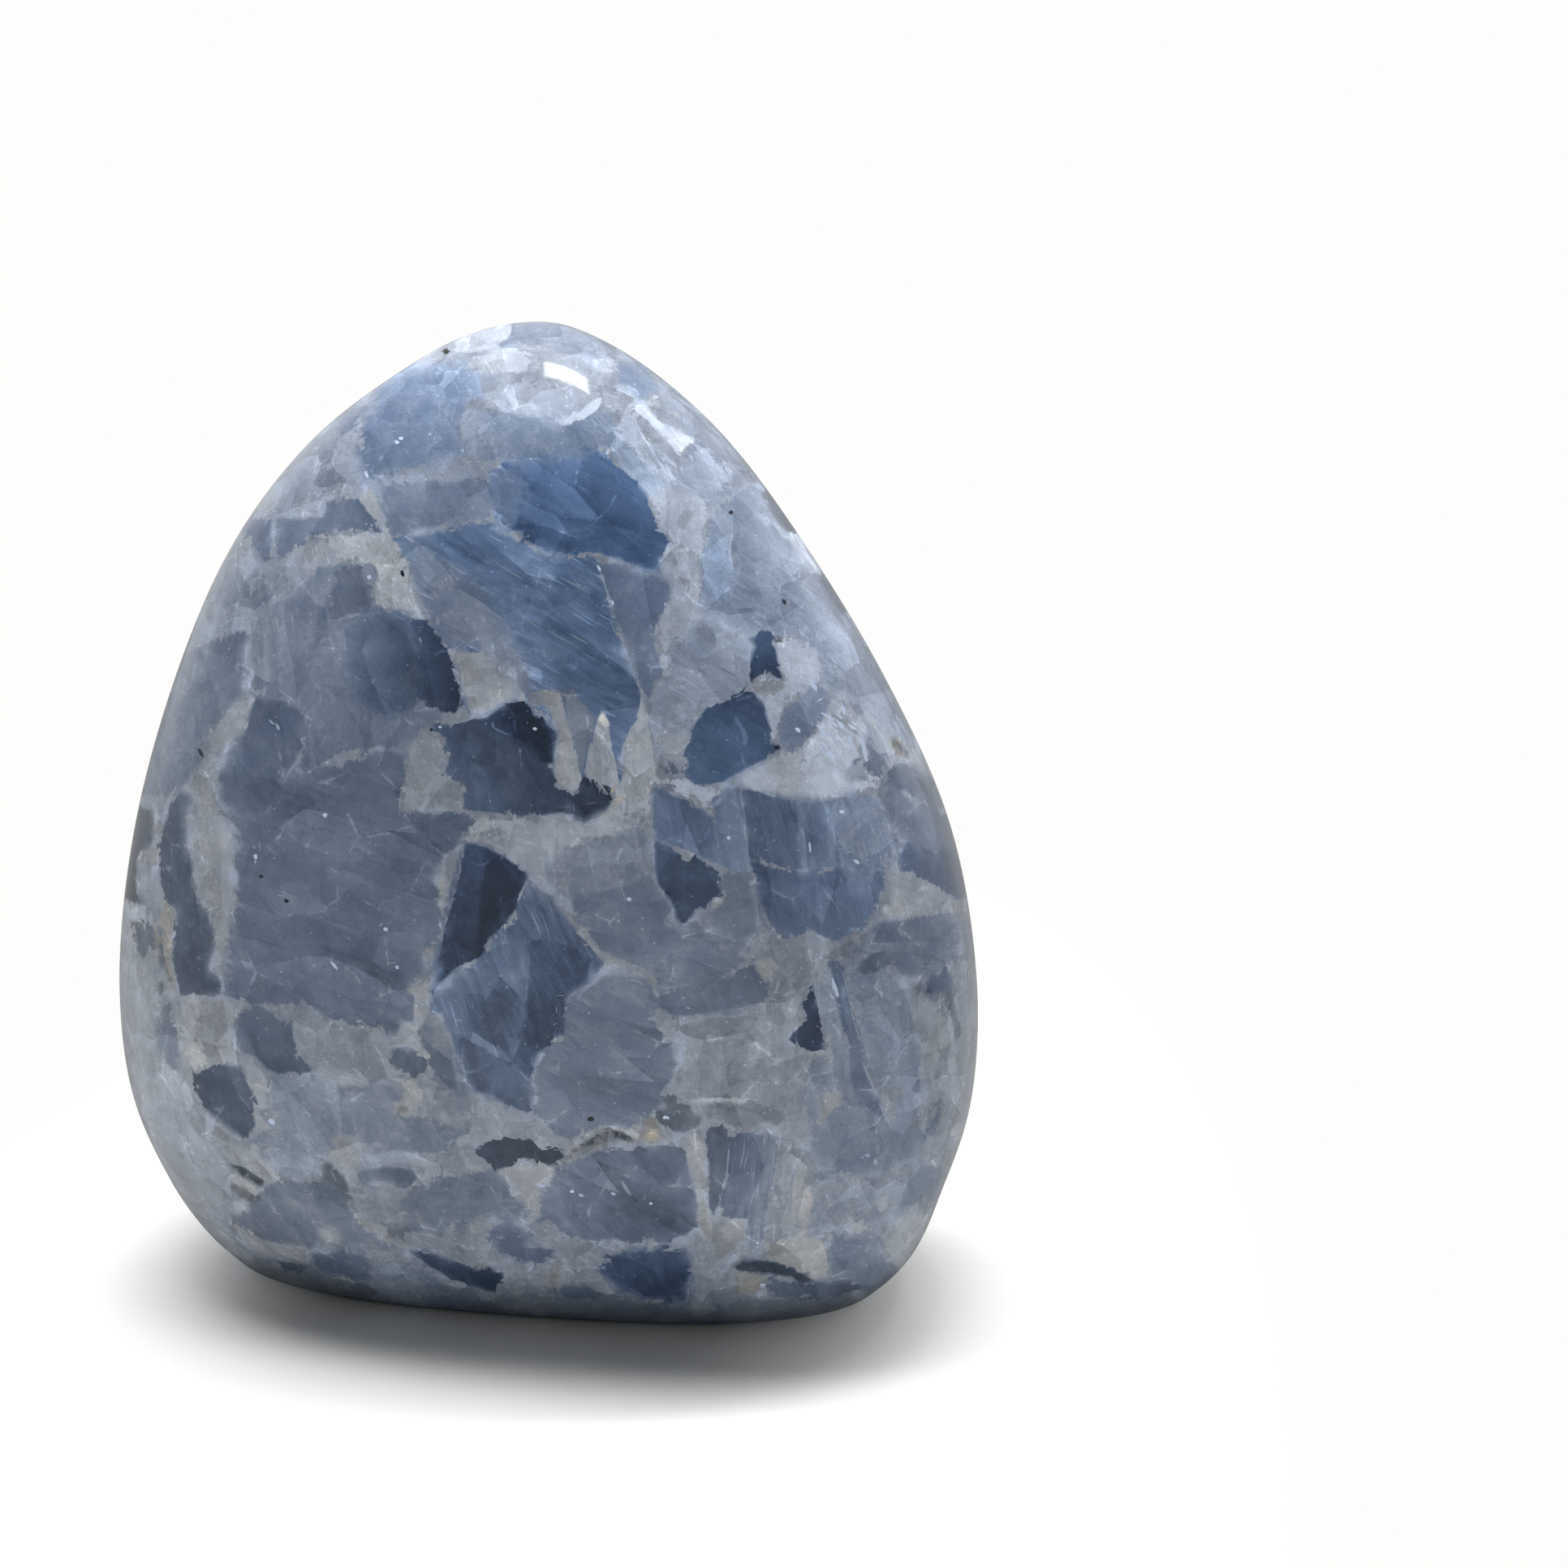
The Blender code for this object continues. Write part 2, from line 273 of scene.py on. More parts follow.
crystal("tip slate", "630,412 640,404 665,400 700,402 720,412 735,428 740,440 722,441 700,438 668,428 "
        "650,424 640,430 620,432 615,424 624,419", (0.52, 0.54, 0), 0.42, seam=0.2, ragged=1, soft=1)
crystal("round patch", "590,462 600,461 628,458 650,465 649,482 635,492 632,498 615,507 600,504 590,498 "
        "588,480", (0.64, 0.61, 60), 0.32)
crystal("cloud under the tip", "650,490 690,486 720,480 741,480 742,500 730,505 722,510 705,522 690,524 "
        "668,517 652,508", (0.60, 0.62, 0), 0.30, glint=0.08)
# The tip haze is partly a pale crystal and partly a painted highlight: the soft halo round the white bar near
# the tip.
crystal("tip haze with painted highlight halo", "650,440 700,436 725,441 728,456 738,462 742,480 720,482 690,487 660,486 648,468",
        (0.58, 0.62, 0), 0.30, glint=0.1)
crystal("tip grey", "700,440 722,442 727,452 732,460 718,462 708,454", (0.62, 0.60, 0), 0.35)
crystal("tip grey two", "738,463 752,463 746,474 736,471", (0.6, 0.6, 0), 0.35)
crystal("tip flakes", "727,441 760,442 762,455 750,460 735,458", (0.62, 0.68, 0), 0.30, glint=0.4)
crystal("tip blue", "760,445 775,448 790,458 803,468 812,478 805,486 795,492 785,491 770,476 757,462",
        (0.52, 0.58, 0), 0.60, seam=0.2)
crystal("tip lavender", "742,482 760,484 772,494 776,503 764,510 748,505 742,498", (0.62, 0.60, 0), 0.30)
crystal("cleavage bands", "715,520 725,505 745,505 765,520 780,545 795,570 818,598 803,612 780,590 757,569 "
        "735,544", (0.50, 0.56, 0), 0.55, lines=(50, 1.0), seam=0.2)
# The spangled bands and the flashes are painted glints: cleavage planes that catch the light, painted pale
# and bright.
crystal("spangled bands", "765,508 782,510 800,540 828,566 836,580 833,595 820,592 800,573 785,560 770,545 "
        "758,528", (0.60, 0.66, 0), 0.35, lines=(50, 1.0), glint=0.55)
crystal("white flash", "778,500 795,498 802,505 815,520 840,534 857,542 845,553 835,560 828,550 815,537 "
        "800,522 785,508", (0.73, 0.80, 0), 0.25, lines=(50, 1.0), glint=0.5, ragged=1.5, soft=1)
crystal("small flash", "793,497 805,486 816,484 802,500", (0.72, 0.72, 0), 0.25)
crystal("plain flank piece", "860,545 880,560 905,590 880,598 860,606 848,600 838,595 845,570",
        (0.62, 0.66, 0), 0.40, lines=(50, 0.5))
print("crystals so far:", len(drawn))

# %% [markdown]
# Where a crystal is clear, one looks into it as through a window, and it is dark and very blue. A window is
# drawn like any other crystal, with a low lightness, a high blueness and often a pale seam around it.

# %% Draw the windows of the upper half
crystal("deep window", "612,590 610,576 620,566 645,554 668,535 678,526 692,523 712,521 735,545 757,570 "
        "780,590 797,608 803,630 812,650 827,665 818,680 813,703 795,703 775,694 760,688 735,684 700,684 "
        "672,680 655,668 640,657 622,652 612,642 608,628 624,620 625,606 616,596", (0.41, 0.36, 75), 1.15,
        ragged=2.5, lines=(30, 0.6), seam=0.25, soft=1)
crystal("window shade", "624,625 650,640 690,655 740,672 700,682 672,679 655,667 640,656 622,650 613,640 "
        "612,628", (0.32, 0.34, 0), 1.15, soft=8)
crystal("pale column", "801,612 820,600 838,597 855,606 870,620 873,640 868,665 861,690 863,715 858,745 "
        "848,768 840,785 830,790 825,800 822,830 817,833 815,800 812,775 818,750 826,742 845,735 846,716 "
        "830,713 814,702 818,682 827,666 812,648 805,630", (0.68, 0.67, 90), 0.30, lines=(85, 0.4), soft=1.2)
crystal("column spot", "824,722 845,716 844,735 833,745 826,738", (0.62, 0.62, 0), 0.35)
crystal("side piece", "830,745 846,736 856,745 848,768 842,784 820,788 812,775 818,752", (0.62, 0.62, 0),
        0.30, soft=4)
crystal("flank shade", "872,650 895,665 905,700 900,740 880,750 866,740 866,700 868,668", (0.58, 0.58, 0),
        0.68, soft=5)
# The rim line is a painted reflection, a pale line where the right rim turns away. The rim shade is painted
# too: a darker band that stands in for the dim reflection on that rim.
crystal("painted rim reflection", "926,586 948,612 970,645 990,678 1008,705 1003,710 982,682 962,650 942,618",
        (0.76, 0.74, 0), 0.30, soft=2)
crystal("rim shade", "936,582 955,603 985,645 1020,700 1052,752 1085,806 1112,865 1140,935 1165,930 "
        "1130,850 1080,760 1020,665 960,590", (0.50, 0.50, 0), 0.18, soft=4)
crystal("bell window", "924,787 930,785 934,778 939,775 949,778 954,785 952,793 956,800 958,815 962,827 "
        "966,839 955,834 945,830 936,831 930,838 927,845 922,849 922,835 924,820 928,803 931,797",
        (0.34, 0.27, 80), 1.00, ragged=1.5, soft=0.6)
crystal("bell speck", "953,785 963,787 967,789 955,791", (0.30, 0.30, 0), 0.1, ragged=1)
crystal("round window", "920,850 928,853 938,862 942,870 944,880 948,893 949,908 953,917 961,920 952,927 "
        "943,937 930,943 915,951 900,959 885,967 875,968 860,967 845,957 838,955 846,945 843,933 844,925 "
        "850,915 852,900 857,890 865,878 880,868 895,862 908,858", (0.30, 0.43, 100), 1.00, ragged=1.5,
        lines=(35, 0.5), seam=0.15, soft=0.8)
crystal("tail of the round window", "945,914 953,917 962,920 957,926 948,930", (0.27, 0.27, 0), 0.1,
        ragged=1.5)
crystal("middle shade", "845,775 865,768 880,775 882,795 870,812 855,810 846,795", (0.52, 0.54, 0), 0.5,
        soft=5)
crystal("pale bulge", "818,902 846,905 851,915 845,925 845,935 840,946 825,940 812,930 808,915",
        (0.60, 0.60, 0), 0.25, soft=2)
crystal("dark wedge", "809,937 825,940 842,948 848,955 835,956 820,957 813,950", (0.40, 0.44, 0), 0.42,
        ragged=2)
crystal("gritty heel", "930,838 945,832 965,840 968,845 950,858 938,862 928,852", (0.56, 0.60, 0), 0.20,
        ragged=4)
print("crystals so far:", len(drawn))

# %% [markdown]
# On the right, two rows of crystals lie in an arc, like bricks. The cleavage of most of them runs steeply
# down, and beyond them small dark crystals sit at the rim.

# %% Draw the arcs on the right
crystal("first arc left", "803,964 820,975 845,985 865,996 877,1006 882,1025 887,1066 870,1060 850,1052 "
        "835,1045 820,1041 808,1036 804,1010", (0.43, 0.48, 90), 0.80, ragged=1.5, lines=(75, 0.5))
crystal("first arc middle", "875,986 893,968 912,970 916,1000 919,1030 923,1060 924,1078 905,1075 889,1069 "
        "884,1040 880,1008", (0.46, 0.50, 90), 0.70, ragged=1.5, lines=(80, 0.6))
crystal("first arc right", "912,970 940,977 970,984 1000,987 1030,984 1055,980 1078,980 1086,1010 1095,1030 "
        "1103,1046 1090,1055 1060,1063 1030,1068 1000,1071 975,1072 955,1068 935,1061 923,1057 919,1030 "
        "916,1000", (0.36, 0.58, 0), 0.72, ragged=2, lines=(75, 0.7), soft=1)
crystal("arc stripe", "983,988 995,988 998,1030 1002,1068 988,1070 984,1030", (0.50, 0.50, 0), 0.60, soft=4,
        ragged=1)
crystal("second arc left", "806,1034 820,1041 840,1050 865,1062 890,1074 887,1088 893,1103 880,1115 "
        "860,1118 852,1130 840,1140 832,1132 827,1113 822,1105 810,1090 806,1068", (0.38, 0.30, 75), 0.80,
        lines=(25, 0.6), soft=0.8)
crystal("second arc middle", "889,1073 905,1076 924,1079 930,1100 934,1130 932,1148 918,1168 900,1172 "
        "885,1166 875,1150 866,1132 880,1116 893,1103 888,1090", (0.47, 0.47, 0), 0.42, soft=3)
crystal("second arc right", "923,1057 955,1069 990,1073 1030,1069 1062,1063 1086,1058 1094,1070 1087,1095 "
        "1082,1115 1076,1130 1062,1145 1045,1155 1030,1160 1015,1155 1000,1145 985,1152 975,1160 960,1156 "
        "950,1142 940,1125 933,1102 928,1080", (0.36, 0.46, 60), 0.80, ragged=2.5, lines=(75, 0.6), soft=1)
crystal("arc foot", "940,1125 952,1142 960,1156 975,1162 985,1155 1000,1148 1015,1160 1010,1180 1000,1200 "
        "985,1215 975,1230 955,1235 948,1222 955,1205 945,1195 930,1180 918,1170 932,1150", (0.55, 0.53, 60),
        0.32, ragged=5, lines=(70, 0.3), glint=0.05, soft=1)
crystal("rim block", "1085,985 1097,960 1110,975 1140,990 1155,1000 1165,1035 1110,1045 1106,1075 1095,1068 "
        "1103,1046 1095,1030 1086,1010", (0.46, 0.44, 60), 0.50, soft=2)
crystal("rim dark top", "1095,945 1108,939 1122,942 1136,955 1150,980 1155,1000 1138,992 1120,979 1100,966 "
        "1093,958", (0.38, 0.42, 60), 0.55, ragged=2, seam=0.2)
crystal("rim dark low", "1108,1042 1130,1035 1150,1036 1175,1035 1190,1080 1195,1108 1178,1109 1160,1099 "
        "1140,1086 1122,1078 1108,1076", (0.36, 0.34, 60), 0.85, ragged=2, seam=0.3)
crystal("rim fan", "1100,1060 1112,1077 1140,1086 1160,1098 1178,1110 1190,1120 1165,1123 1145,1126 "
        "1125,1129 1100,1130 1090,1125 1098,1105 1097,1080", (0.60, 0.57, 20), 0.22, ragged=2.5,
        lines=(20, 0.6), soft=1)
crystal("under the fan", "1085,1135 1130,1129 1170,1124 1195,1122 1205,1150 1195,1175 1180,1186 1165,1190 "
        "1155,1198 1145,1205 1120,1205 1105,1198 1095,1186 1075,1180 1050,1174 1058,1160 1070,1147",
        (0.46, 0.50, 0), 0.48, lines=(5, 0.6), seam=0.3)
print("crystals so far:", len(drawn))

# %% [markdown]
# ## The crystals of the middle and the lower half
#
# A dark window lies in the middle, at the end of a comb of pale fingers, and a dark triangle below it. These
# carry the likeness, so they have the most points and the crispest edges.

# %% Draw the dark window, the fingers and the triangle
crystal("dark window", "534,893 541,892 556,893 562,887 580,885 600,884 610,877 625,868 638,864 650,868 "
        "660,880 672,888 684,898 689,910 685,928 682,945 684,960 692,970 705,976 711,968 712,958 725,960 "
        "740,968 752,975 757,985 750,996 742,1008 730,1012 717,1016 708,1012 706,1003 690,1003 670,1005 "
        "655,1004 640,1008 620,1006 600,1003 585,1000 570,997 571,985 572,972 566,965 557,962 548,958 "
        "544,950 547,935 548,920 545,905", (0.42, 0.24, -35), 0.70, lines=(60, 0.4), seam=0.4, soft=0.7)
crystal("dark window heart", "612,878 638,866 652,869 662,881 683,899 688,911 683,945 670,940 650,915 "
        "625,905 605,895", (0.23, 0.22, 0), 1.20, soft=5, ragged=2)
crystal("dark window tail", "706,985 715,966 735,972 750,985 748,996 740,1008 717,1015 708,1011",
        (0.33, 0.20, 90), 0.6, soft=2)
crystal("dark bank", "480,753 492,752 510,762 525,765 535,776 543,791 553,800 556,815 562,835 568,852 "
        "570,870 560,880 545,878 525,870 512,860 510,830 512,800 500,780", (0.44, 0.24, 0), 0.85, ragged=1.5,
        soft=1.2, seam=0.2)
crystal("pale bank", "530,893 540,895 547,912 549,935 544,952 552,960 565,964 573,975 570,998 550,998 "
        "515,1000 494,1002 492,960 500,932 515,905", (0.55, 0.60, 0), 0.20, soft=14, ragged=1.5)
crystal("first finger", "651,869 653,852 665,850 690,851 697,880 704,905 711,930 717,957 712,972 704,976 "
        "690,969 682,952 684,925 690,905 672,872", (0.53, 0.67, 10), 0.12, lines=(75, 0.6), ragged=1, soft=1)
crystal("second finger", "742,871 748,886 751,900 755,922 760,945 764,966 752,974 738,968 724,964 720,950 "
        "724,930 730,908 736,890", (0.64, 0.64, 80), 0.18, lines=(82, 0.6), ragged=0.8, soft=0.8, glint=0.06)
crystal("third finger", "791,848 796,870 800,890 804,915 808,945 811,960 803,970 800,985 790,998 775,1005 "
        "762,985 755,975 765,965 768,945 767,925 773,905 782,888 788,872", (0.64, 0.68, 80), 0.15,
        lines=(82, 0.6), ragged=0.8, soft=0.8, glint=0.05)
crystal("ochre by the fingers", "740,882 744,878 750,890 746,894 738,890", (0.84, 0.80, 0), -0.08, ragged=1,
        soft=0.7)
crystal("ochre by the tail", "757,972 766,985 762,1000 748,1010 738,1018 735,1010 748,1000 756,988",
        (0.68, 0.68, 0), -0.28)
crystal("pale seam below", "585,1002 620,1009 650,1006 690,1005 706,1008 718,1018 740,1012 765,1004 790,994 "
        "800,985 806,1000 790,1014 760,1028 730,1036 700,1041 680,1045 668,1060 672,1085 683,1105 672,1100 "
        "655,1085 640,1068 620,1052 600,1040 576,1036 585,1022", (0.58, 0.62, 0), 0.25, lines=(20, 0.5))
crystal("split line", "678,1102 700,1124 720,1148 735,1168 755,1180 780,1189 800,1198 812,1210 806,1218 "
        "790,1200 765,1193 742,1184 725,1165 705,1140 685,1115", (0.56, 0.56, 0), 0.18, ragged=1)
crystal("dark triangle", "574,1037 590,1040 605,1048 620,1056 634,1060 645,1070 652,1080 646,1090 640,1100 "
        "637,1112 632,1125 622,1138 610,1148 600,1158 598,1165 590,1178 580,1186 570,1190 560,1198 552,1205 "
        "540,1216 530,1228 527,1212 534,1190 541,1165 548,1140 556,1115 562,1095 568,1070 571,1050",
        (0.35, 0.25, 55), 1.05, ragged=1.2, seam=0.2, soft=0.8)
crystal("west of the triangle", "574,1038 568,1065 556,1115 545,1160 536,1200 532,1224 526,1226 530,1200 "
        "536,1170 546,1130 556,1090 566,1050", (0.46, 0.42, 90), 0.62, ragged=0.8, soft=2)
crystal("pale chip", "538,1066 551,1058 548,1080 544,1108 538,1090", (0.60, 0.60, 0), -0.05)
print("crystals so far:", len(drawn))

# %% [markdown]
# Down the left side run a dark strip and a pale, gritty seam, with dark lumps in a pale bay below. Iron has
# stained a few places ochre: they have a blueness of less than nothing.

# %% Draw the left side and its seams
crystal("left dark strip", "222,976 234,977 241,985 231,1000 232,1020 232,1040 238,1060 239,1085 243,1105 "
        "252,1118 259,1124 261,1140 265,1146 263,1170 258,1195 268,1202 274,1212 271,1225 262,1230 250,1226 "
        "235,1226 222,1229 219,1215 215,1200 211,1180 212,1150 208,1120 200,1095 195,1070 196,1045 203,1015 "
        "210,990", (0.35, 0.38, 80), 0.45, ragged=2.2, seam=0.3, soft=0.8)
crystal("left seam", "318,850 306,856 292,870 281,890 263,905 251,920 246,940 240,955 228,970 243,985 "
        "233,1000 233,1040 240,1060 241,1085 246,1108 260,1122 266,1145 265,1170 261,1196 275,1205 280,1180 "
        "283,1150 290,1120 287,1095 284,1070 290,1040 285,1010 266,985 268,950 268,930 285,912 298,900 "
        "304,882 314,868", (0.62, 0.63, 0), 0.15, lines=(80, 0.4), soft=9, seam=0.2)
crystal("rim dark strip", "178,985 187,998 191,1015 190,1035 181,1048 173,1051 169,1070 168,1090 171,1105 "
        "178,1113 170,1113 162,1095 162,1060 167,1020", (0.36, 0.36, 0), 0.25, ragged=2)
crystal("rim pale patch", "193,1011 201,1012 199,1040 196,1060 188,1067 173,1065 174,1051 188,1048 190,1030",
        (0.60, 0.60, 0), 0.05)
crystal("rim dim patch", "162,1135 176,1134 190,1148 191,1166 176,1179 166,1170", (0.43, 0.44, 0), 0.25,
        soft=2)
crystal("ochre strip", "200,1112 214,1119 219,1135 212,1152 212,1190 218,1206 218,1226 208,1215 200,1195 "
        "197,1165 193,1140", (0.60, 0.60, 0), -0.12)
crystal("brown crack", "196,1162 200,1165 202,1180 208,1200 214,1210 208,1208 200,1196 196,1178",
        (0.46, 0.46, 0), -0.10, ragged=1)
crystal("rim spot", "195,1211 203,1208 204,1219 197,1225", (0.42, 0.42, 0), 0.1, ragged=2)
crystal("lower blue strip", "208,1236 216,1250 223,1280 226,1300 231,1315 222,1323 208,1310 200,1290 "
        "196,1270 200,1245", (0.50, 0.53, 60), 0.42, soft=3)
crystal("pale bay", "222,1230 250,1228 275,1230 290,1238 300,1240 286,1252 283,1275 291,1295 302,1304 "
        "314,1312 325,1325 330,1340 330,1360 323,1370 332,1392 322,1395 312,1402 300,1405 285,1398 262,1385 "
        "245,1362 232,1335 222,1320 220,1290 215,1260", (0.62, 0.65, 90), 0.15, ragged=4)
crystal("pale lump", "224,1285 245,1280 252,1295 259,1308 250,1317 240,1320 230,1312 226,1300",
        (0.75, 0.75, 0), 0.00)
crystal("dark lump", "300,1242 318,1239 330,1245 340,1252 346,1255 352,1250 358,1262 360,1280 368,1300 "
        "384,1315 380,1321 365,1322 345,1322 330,1318 320,1308 310,1300 298,1298 290,1285 286,1265 290,1252",
        (0.44, 0.34, 50), 0.50, ragged=2.5, soft=0.8)
crystal("dark lump below", "238,1320 250,1320 258,1313 272,1312 280,1310 288,1312 296,1315 302,1322 "
        "306,1335 313,1345 315,1360 312,1375 314,1385 308,1400 300,1403 290,1395 275,1385 262,1375 250,1362 "
        "240,1345 237,1330", (0.38, 0.37, 0), 0.50, ragged=2.5, soft=0.8)
crystal("pale shelf edge", "398,1322 425,1327 450,1333 430,1336 410,1333", (0.62, 0.58, 0), 0.1, ragged=2)
crystal("small lens", "482,1292 495,1288 510,1290 522,1300 529,1312 526,1325 512,1329 498,1326 487,1318 "
        "481,1305", (0.39, 0.40, 0), 0.45, ragged=2.5)
crystal("slab", "516,1271 530,1285 545,1300 558,1305 562,1318 562,1330 569,1346 560,1346 545,1330 532,1322 "
        "529,1300 515,1282", (0.38, 0.41, 60), 0.42, ragged=2)
crystal("pale foot of the lens", "488,1328 505,1329 520,1332 525,1345 520,1360 515,1371 500,1376 490,1372 "
        "484,1362 498,1355 492,1340", (0.62, 0.62, 0), 0.05)
crystal("lens crack", "486,1361 498,1360 506,1364 498,1368 488,1367", (0.36, 0.36, 0), 0.05, ragged=1)
crystal("ragged seam", "497,1213 508,1216 522,1206 531,1200 530,1215 526,1235 521,1262 512,1271 500,1273 "
        "491,1281 480,1291 476,1283 490,1276 495,1263 511,1258 512,1235 510,1226 500,1221", (0.62, 0.62, 0),
        0.05)
crystal("ragged seam above", "520,1164 536,1163 537,1180 531,1200 525,1187", (0.58, 0.58, 0), 0.12)
crystal("seam by the lens", "475,1282 500,1272 520,1278 517,1290 528,1302 520,1300 505,1288 490,1290 "
        "478,1296", (0.60, 0.60, 0), 0.12, ragged=4)
print("crystals so far:", len(drawn))

# %% [markdown]
# Low in the middle a gritty crevice is open, and to its right narrow crystals stand side by side, like the
# pages of a book.

# %% Draw the crevice and the stripes
crystal("dark brow", "585,1418 599,1412 605,1403 620,1400 640,1400 655,1405 662,1415 680,1415 692,1417 "
        "697,1425 685,1432 672,1439 662,1436 655,1431 640,1430 630,1438 618,1443 606,1439 598,1430",
        (0.30, 0.27, 0), 0.60, ragged=2, soft=0.8)
crystal("pale tip", "614,1440 630,1438 640,1431 655,1430 665,1436 682,1439 678,1455 668,1468 665,1485 "
        "664,1498 652,1492 638,1478 632,1460 621,1449", (0.62, 0.60, 60), 0.12, ragged=2.5, glint=0.04)
crystal("gritty crevice", "692,1430 698,1420 715,1411 728,1404 735,1394 745,1387 760,1390 775,1395 787,1400 "
        "780,1407 765,1403 745,1406 730,1413 712,1421 702,1430", (0.55, 0.60, 0), 0.0, ragged=5, glint=0.3)
crystal("crevice dark", "706,1419 718,1413 732,1408 745,1398 760,1402 776,1405 765,1398 750,1393 735,1401 "
        "722,1408 708,1415", (0.34, 0.34, 0), 0.20, ragged=2)
crystal("ochre halo", "778,1372 800,1370 813,1385 816,1400 806,1411 790,1406 780,1392", (0.50, 0.46, 0),
        -0.25, ragged=4, soft=3)
crystal("ochre grain", "799,1397 806,1391 810,1394 805,1403 798,1403", (0.74, 0.74, 0), -0.9, ragged=1)
crystal("crevice end", "812,1350 822,1344 832,1345 836,1355 850,1365 866,1375 862,1390 845,1396 825,1392 "
        "810,1385 806,1368", (0.37, 0.42, 0), 0.3)
crystal("lower blue heart", "780,1428 800,1418 828,1420 840,1435 838,1455 815,1460 790,1452",
        (0.39, 0.37, 0), 0.55, soft=8)
crystal("grey step", "695,1482 715,1484 716,1500 700,1505", (0.43, 0.43, 0), 0.45, soft=1)
crystal("white line", "845,1357 865,1353 900,1351 925,1354 952,1353 950,1358 925,1359 890,1358 860,1361",
        (0.72, 0.66, 0), 0.12, ragged=1, soft=0.6)
crystal("below the line", "860,1362 890,1359 925,1360 950,1359 975,1372 960,1388 940,1385 915,1393 895,1388 "
        "870,1378", (0.52, 0.50, 0), 0.25)
crystal("pale post", "848,1400 863,1400 869,1415 871,1440 868,1465 870,1495 874,1525 860,1526 862,1500 "
        "858,1460 847,1432", (0.60, 0.58, 90), 0.08, ragged=1.5, soft=1)
crystal("ochre foot of the post", "862,1490 872,1492 875,1518 863,1522", (0.62, 0.62, 0), -0.15)
crystal("first stripe", "869,1392 880,1382 896,1386 900,1420 895,1450 886,1480 880,1502 873,1482 873,1440",
        (0.36, 0.40, 90), 0.45, ragged=1.2, lines=(95, 0.7), soft=0.8)
crystal("second stripe", "897,1400 915,1396 932,1395 941,1410 946,1440 936,1480 920,1502 893,1502 888,1482 "
        "897,1450", (0.38, 0.42, 90), 0.55, ragged=1.2, lines=(97, 0.9), soft=0.8)
crystal("third stripe", "930,1398 945,1396 962,1410 958,1430 950,1470 942,1510 938,1542 922,1542 918,1522 "
        "926,1480 942,1440", (0.46, 0.50, 90), 0.45, ragged=1.2, lines=(97, 0.9), soft=0.8)
crystal("fourth stripe", "962,1400 980,1402 988,1425 978,1428 965,1490 955,1530 940,1542 946,1500 956,1440",
        (0.53, 0.56, 90), 0.25, ragged=1.2, lines=(97, 0.6), soft=0.8)
crystal("fifth stripe", "978,1428 996,1430 991,1458 985,1490 972,1522 957,1530 966,1490 975,1455",
        (0.57, 0.62, 90), 0.12, ragged=1.2, lines=(97, 0.6), soft=0.8)
crystal("bright stripe", "991,1458 1003,1475 999,1500 990,1526 982,1526 985,1490", (0.68, 0.66, 0), 0.02,
        ragged=1, glint=0.05, soft=0.8)
crystal("between the stripes", "880,1504 895,1503 918,1503 920,1525 905,1540 890,1552 880,1550",
        (0.56, 0.56, 0), 0.1)
crystal("dim hook", "970,1420 978,1412 990,1422 1000,1425 1010,1440 1000,1455 990,1455 993,1432 980,1428",
        (0.50, 0.52, 0), 0.25, ragged=2)
crystal("pale square", "944,1532 970,1527 1000,1524 1013,1528 1019,1545 1022,1560 1019,1573 1000,1576 "
        "990,1568 975,1560 955,1556 946,1548", (0.62, 0.67, 0), 0.0, ragged=2, soft=0.8)
crystal("dark foot band", "904,1560 915,1552 940,1553 965,1555 985,1565 1002,1577 990,1581 968,1573 "
        "950,1569 925,1569 908,1568", (0.29, 0.31, 0), 0.3, ragged=1.5)
crystal("foot band", "945,1573 990,1582 1020,1578 1047,1575 1062,1588 1030,1600 1000,1602 960,1602 944,1592",
        (0.41, 0.39, 0), 0.45)
crystal("ochre foot", "905,1572 925,1570 944,1572 943,1586 925,1594 908,1592", (0.54, 0.58, 0), -0.12,
        ragged=4)
crystal("pale knob", "1041,1510 1050,1503 1062,1505 1069,1515 1058,1521 1045,1519", (0.66, 0.66, 0), 0.10)
crystal("pale rim chips", "1090,1522 1110,1500 1130,1495 1150,1480 1150,1500 1125,1530 1118,1552 1100,1556 "
        "1088,1545", (0.60, 0.66, 0), 0.15, ragged=4, glint=0.03)
print("crystals so far:", len(drawn))

# %% [markdown]
# The right side is split into tall blades. Their shading from one side to the other is painted light, where
# cleavage faces catch the light one after another. Some have a dark neighbour instead, and the blade shadow
# is a painted shadow beside the great blade. So they seem to lean, although the polish is flush.

# %% Draw the blades on the right
crystal("small dark window", "1001,1212 1005,1225 1010,1250 1015,1275 1020,1298 1010,1293 1000,1295 "
        "985,1291 972,1281 975,1272 985,1265 992,1255 990,1245 985,1238 995,1228", (0.29, 0.27, 0), 1.00,
        ragged=1.5, soft=0.6)
crystal("gritty bank", "930,1258 945,1250 960,1243 985,1240 992,1252 988,1262 975,1273 960,1286 945,1284 "
        "930,1289 918,1278 914,1264", (0.57, 0.60, 0), 0.25)
crystal("round ring", "934,1186 950,1181 956,1192 950,1206 940,1205 932,1196", (0.60, 0.60, 0), 0.05,
        ragged=2)
crystal("left blade", "1002,1212 1014,1190 1025,1181 1029,1200 1036,1240 1046,1290 1056,1330 1072,1362 "
        "1050,1366 1032,1352 1022,1310 1017,1280 1010,1245", (0.57, 0.50, 80), 0.42, lines=(75, 0.5))
crystal("dark blade", "1024,1184 1039,1182 1046,1215 1056,1255 1064,1292 1050,1300 1040,1270 1030,1230",
        (0.35, 0.45, 80), 0.75, ragged=1.5, lines=(75, 0.8))
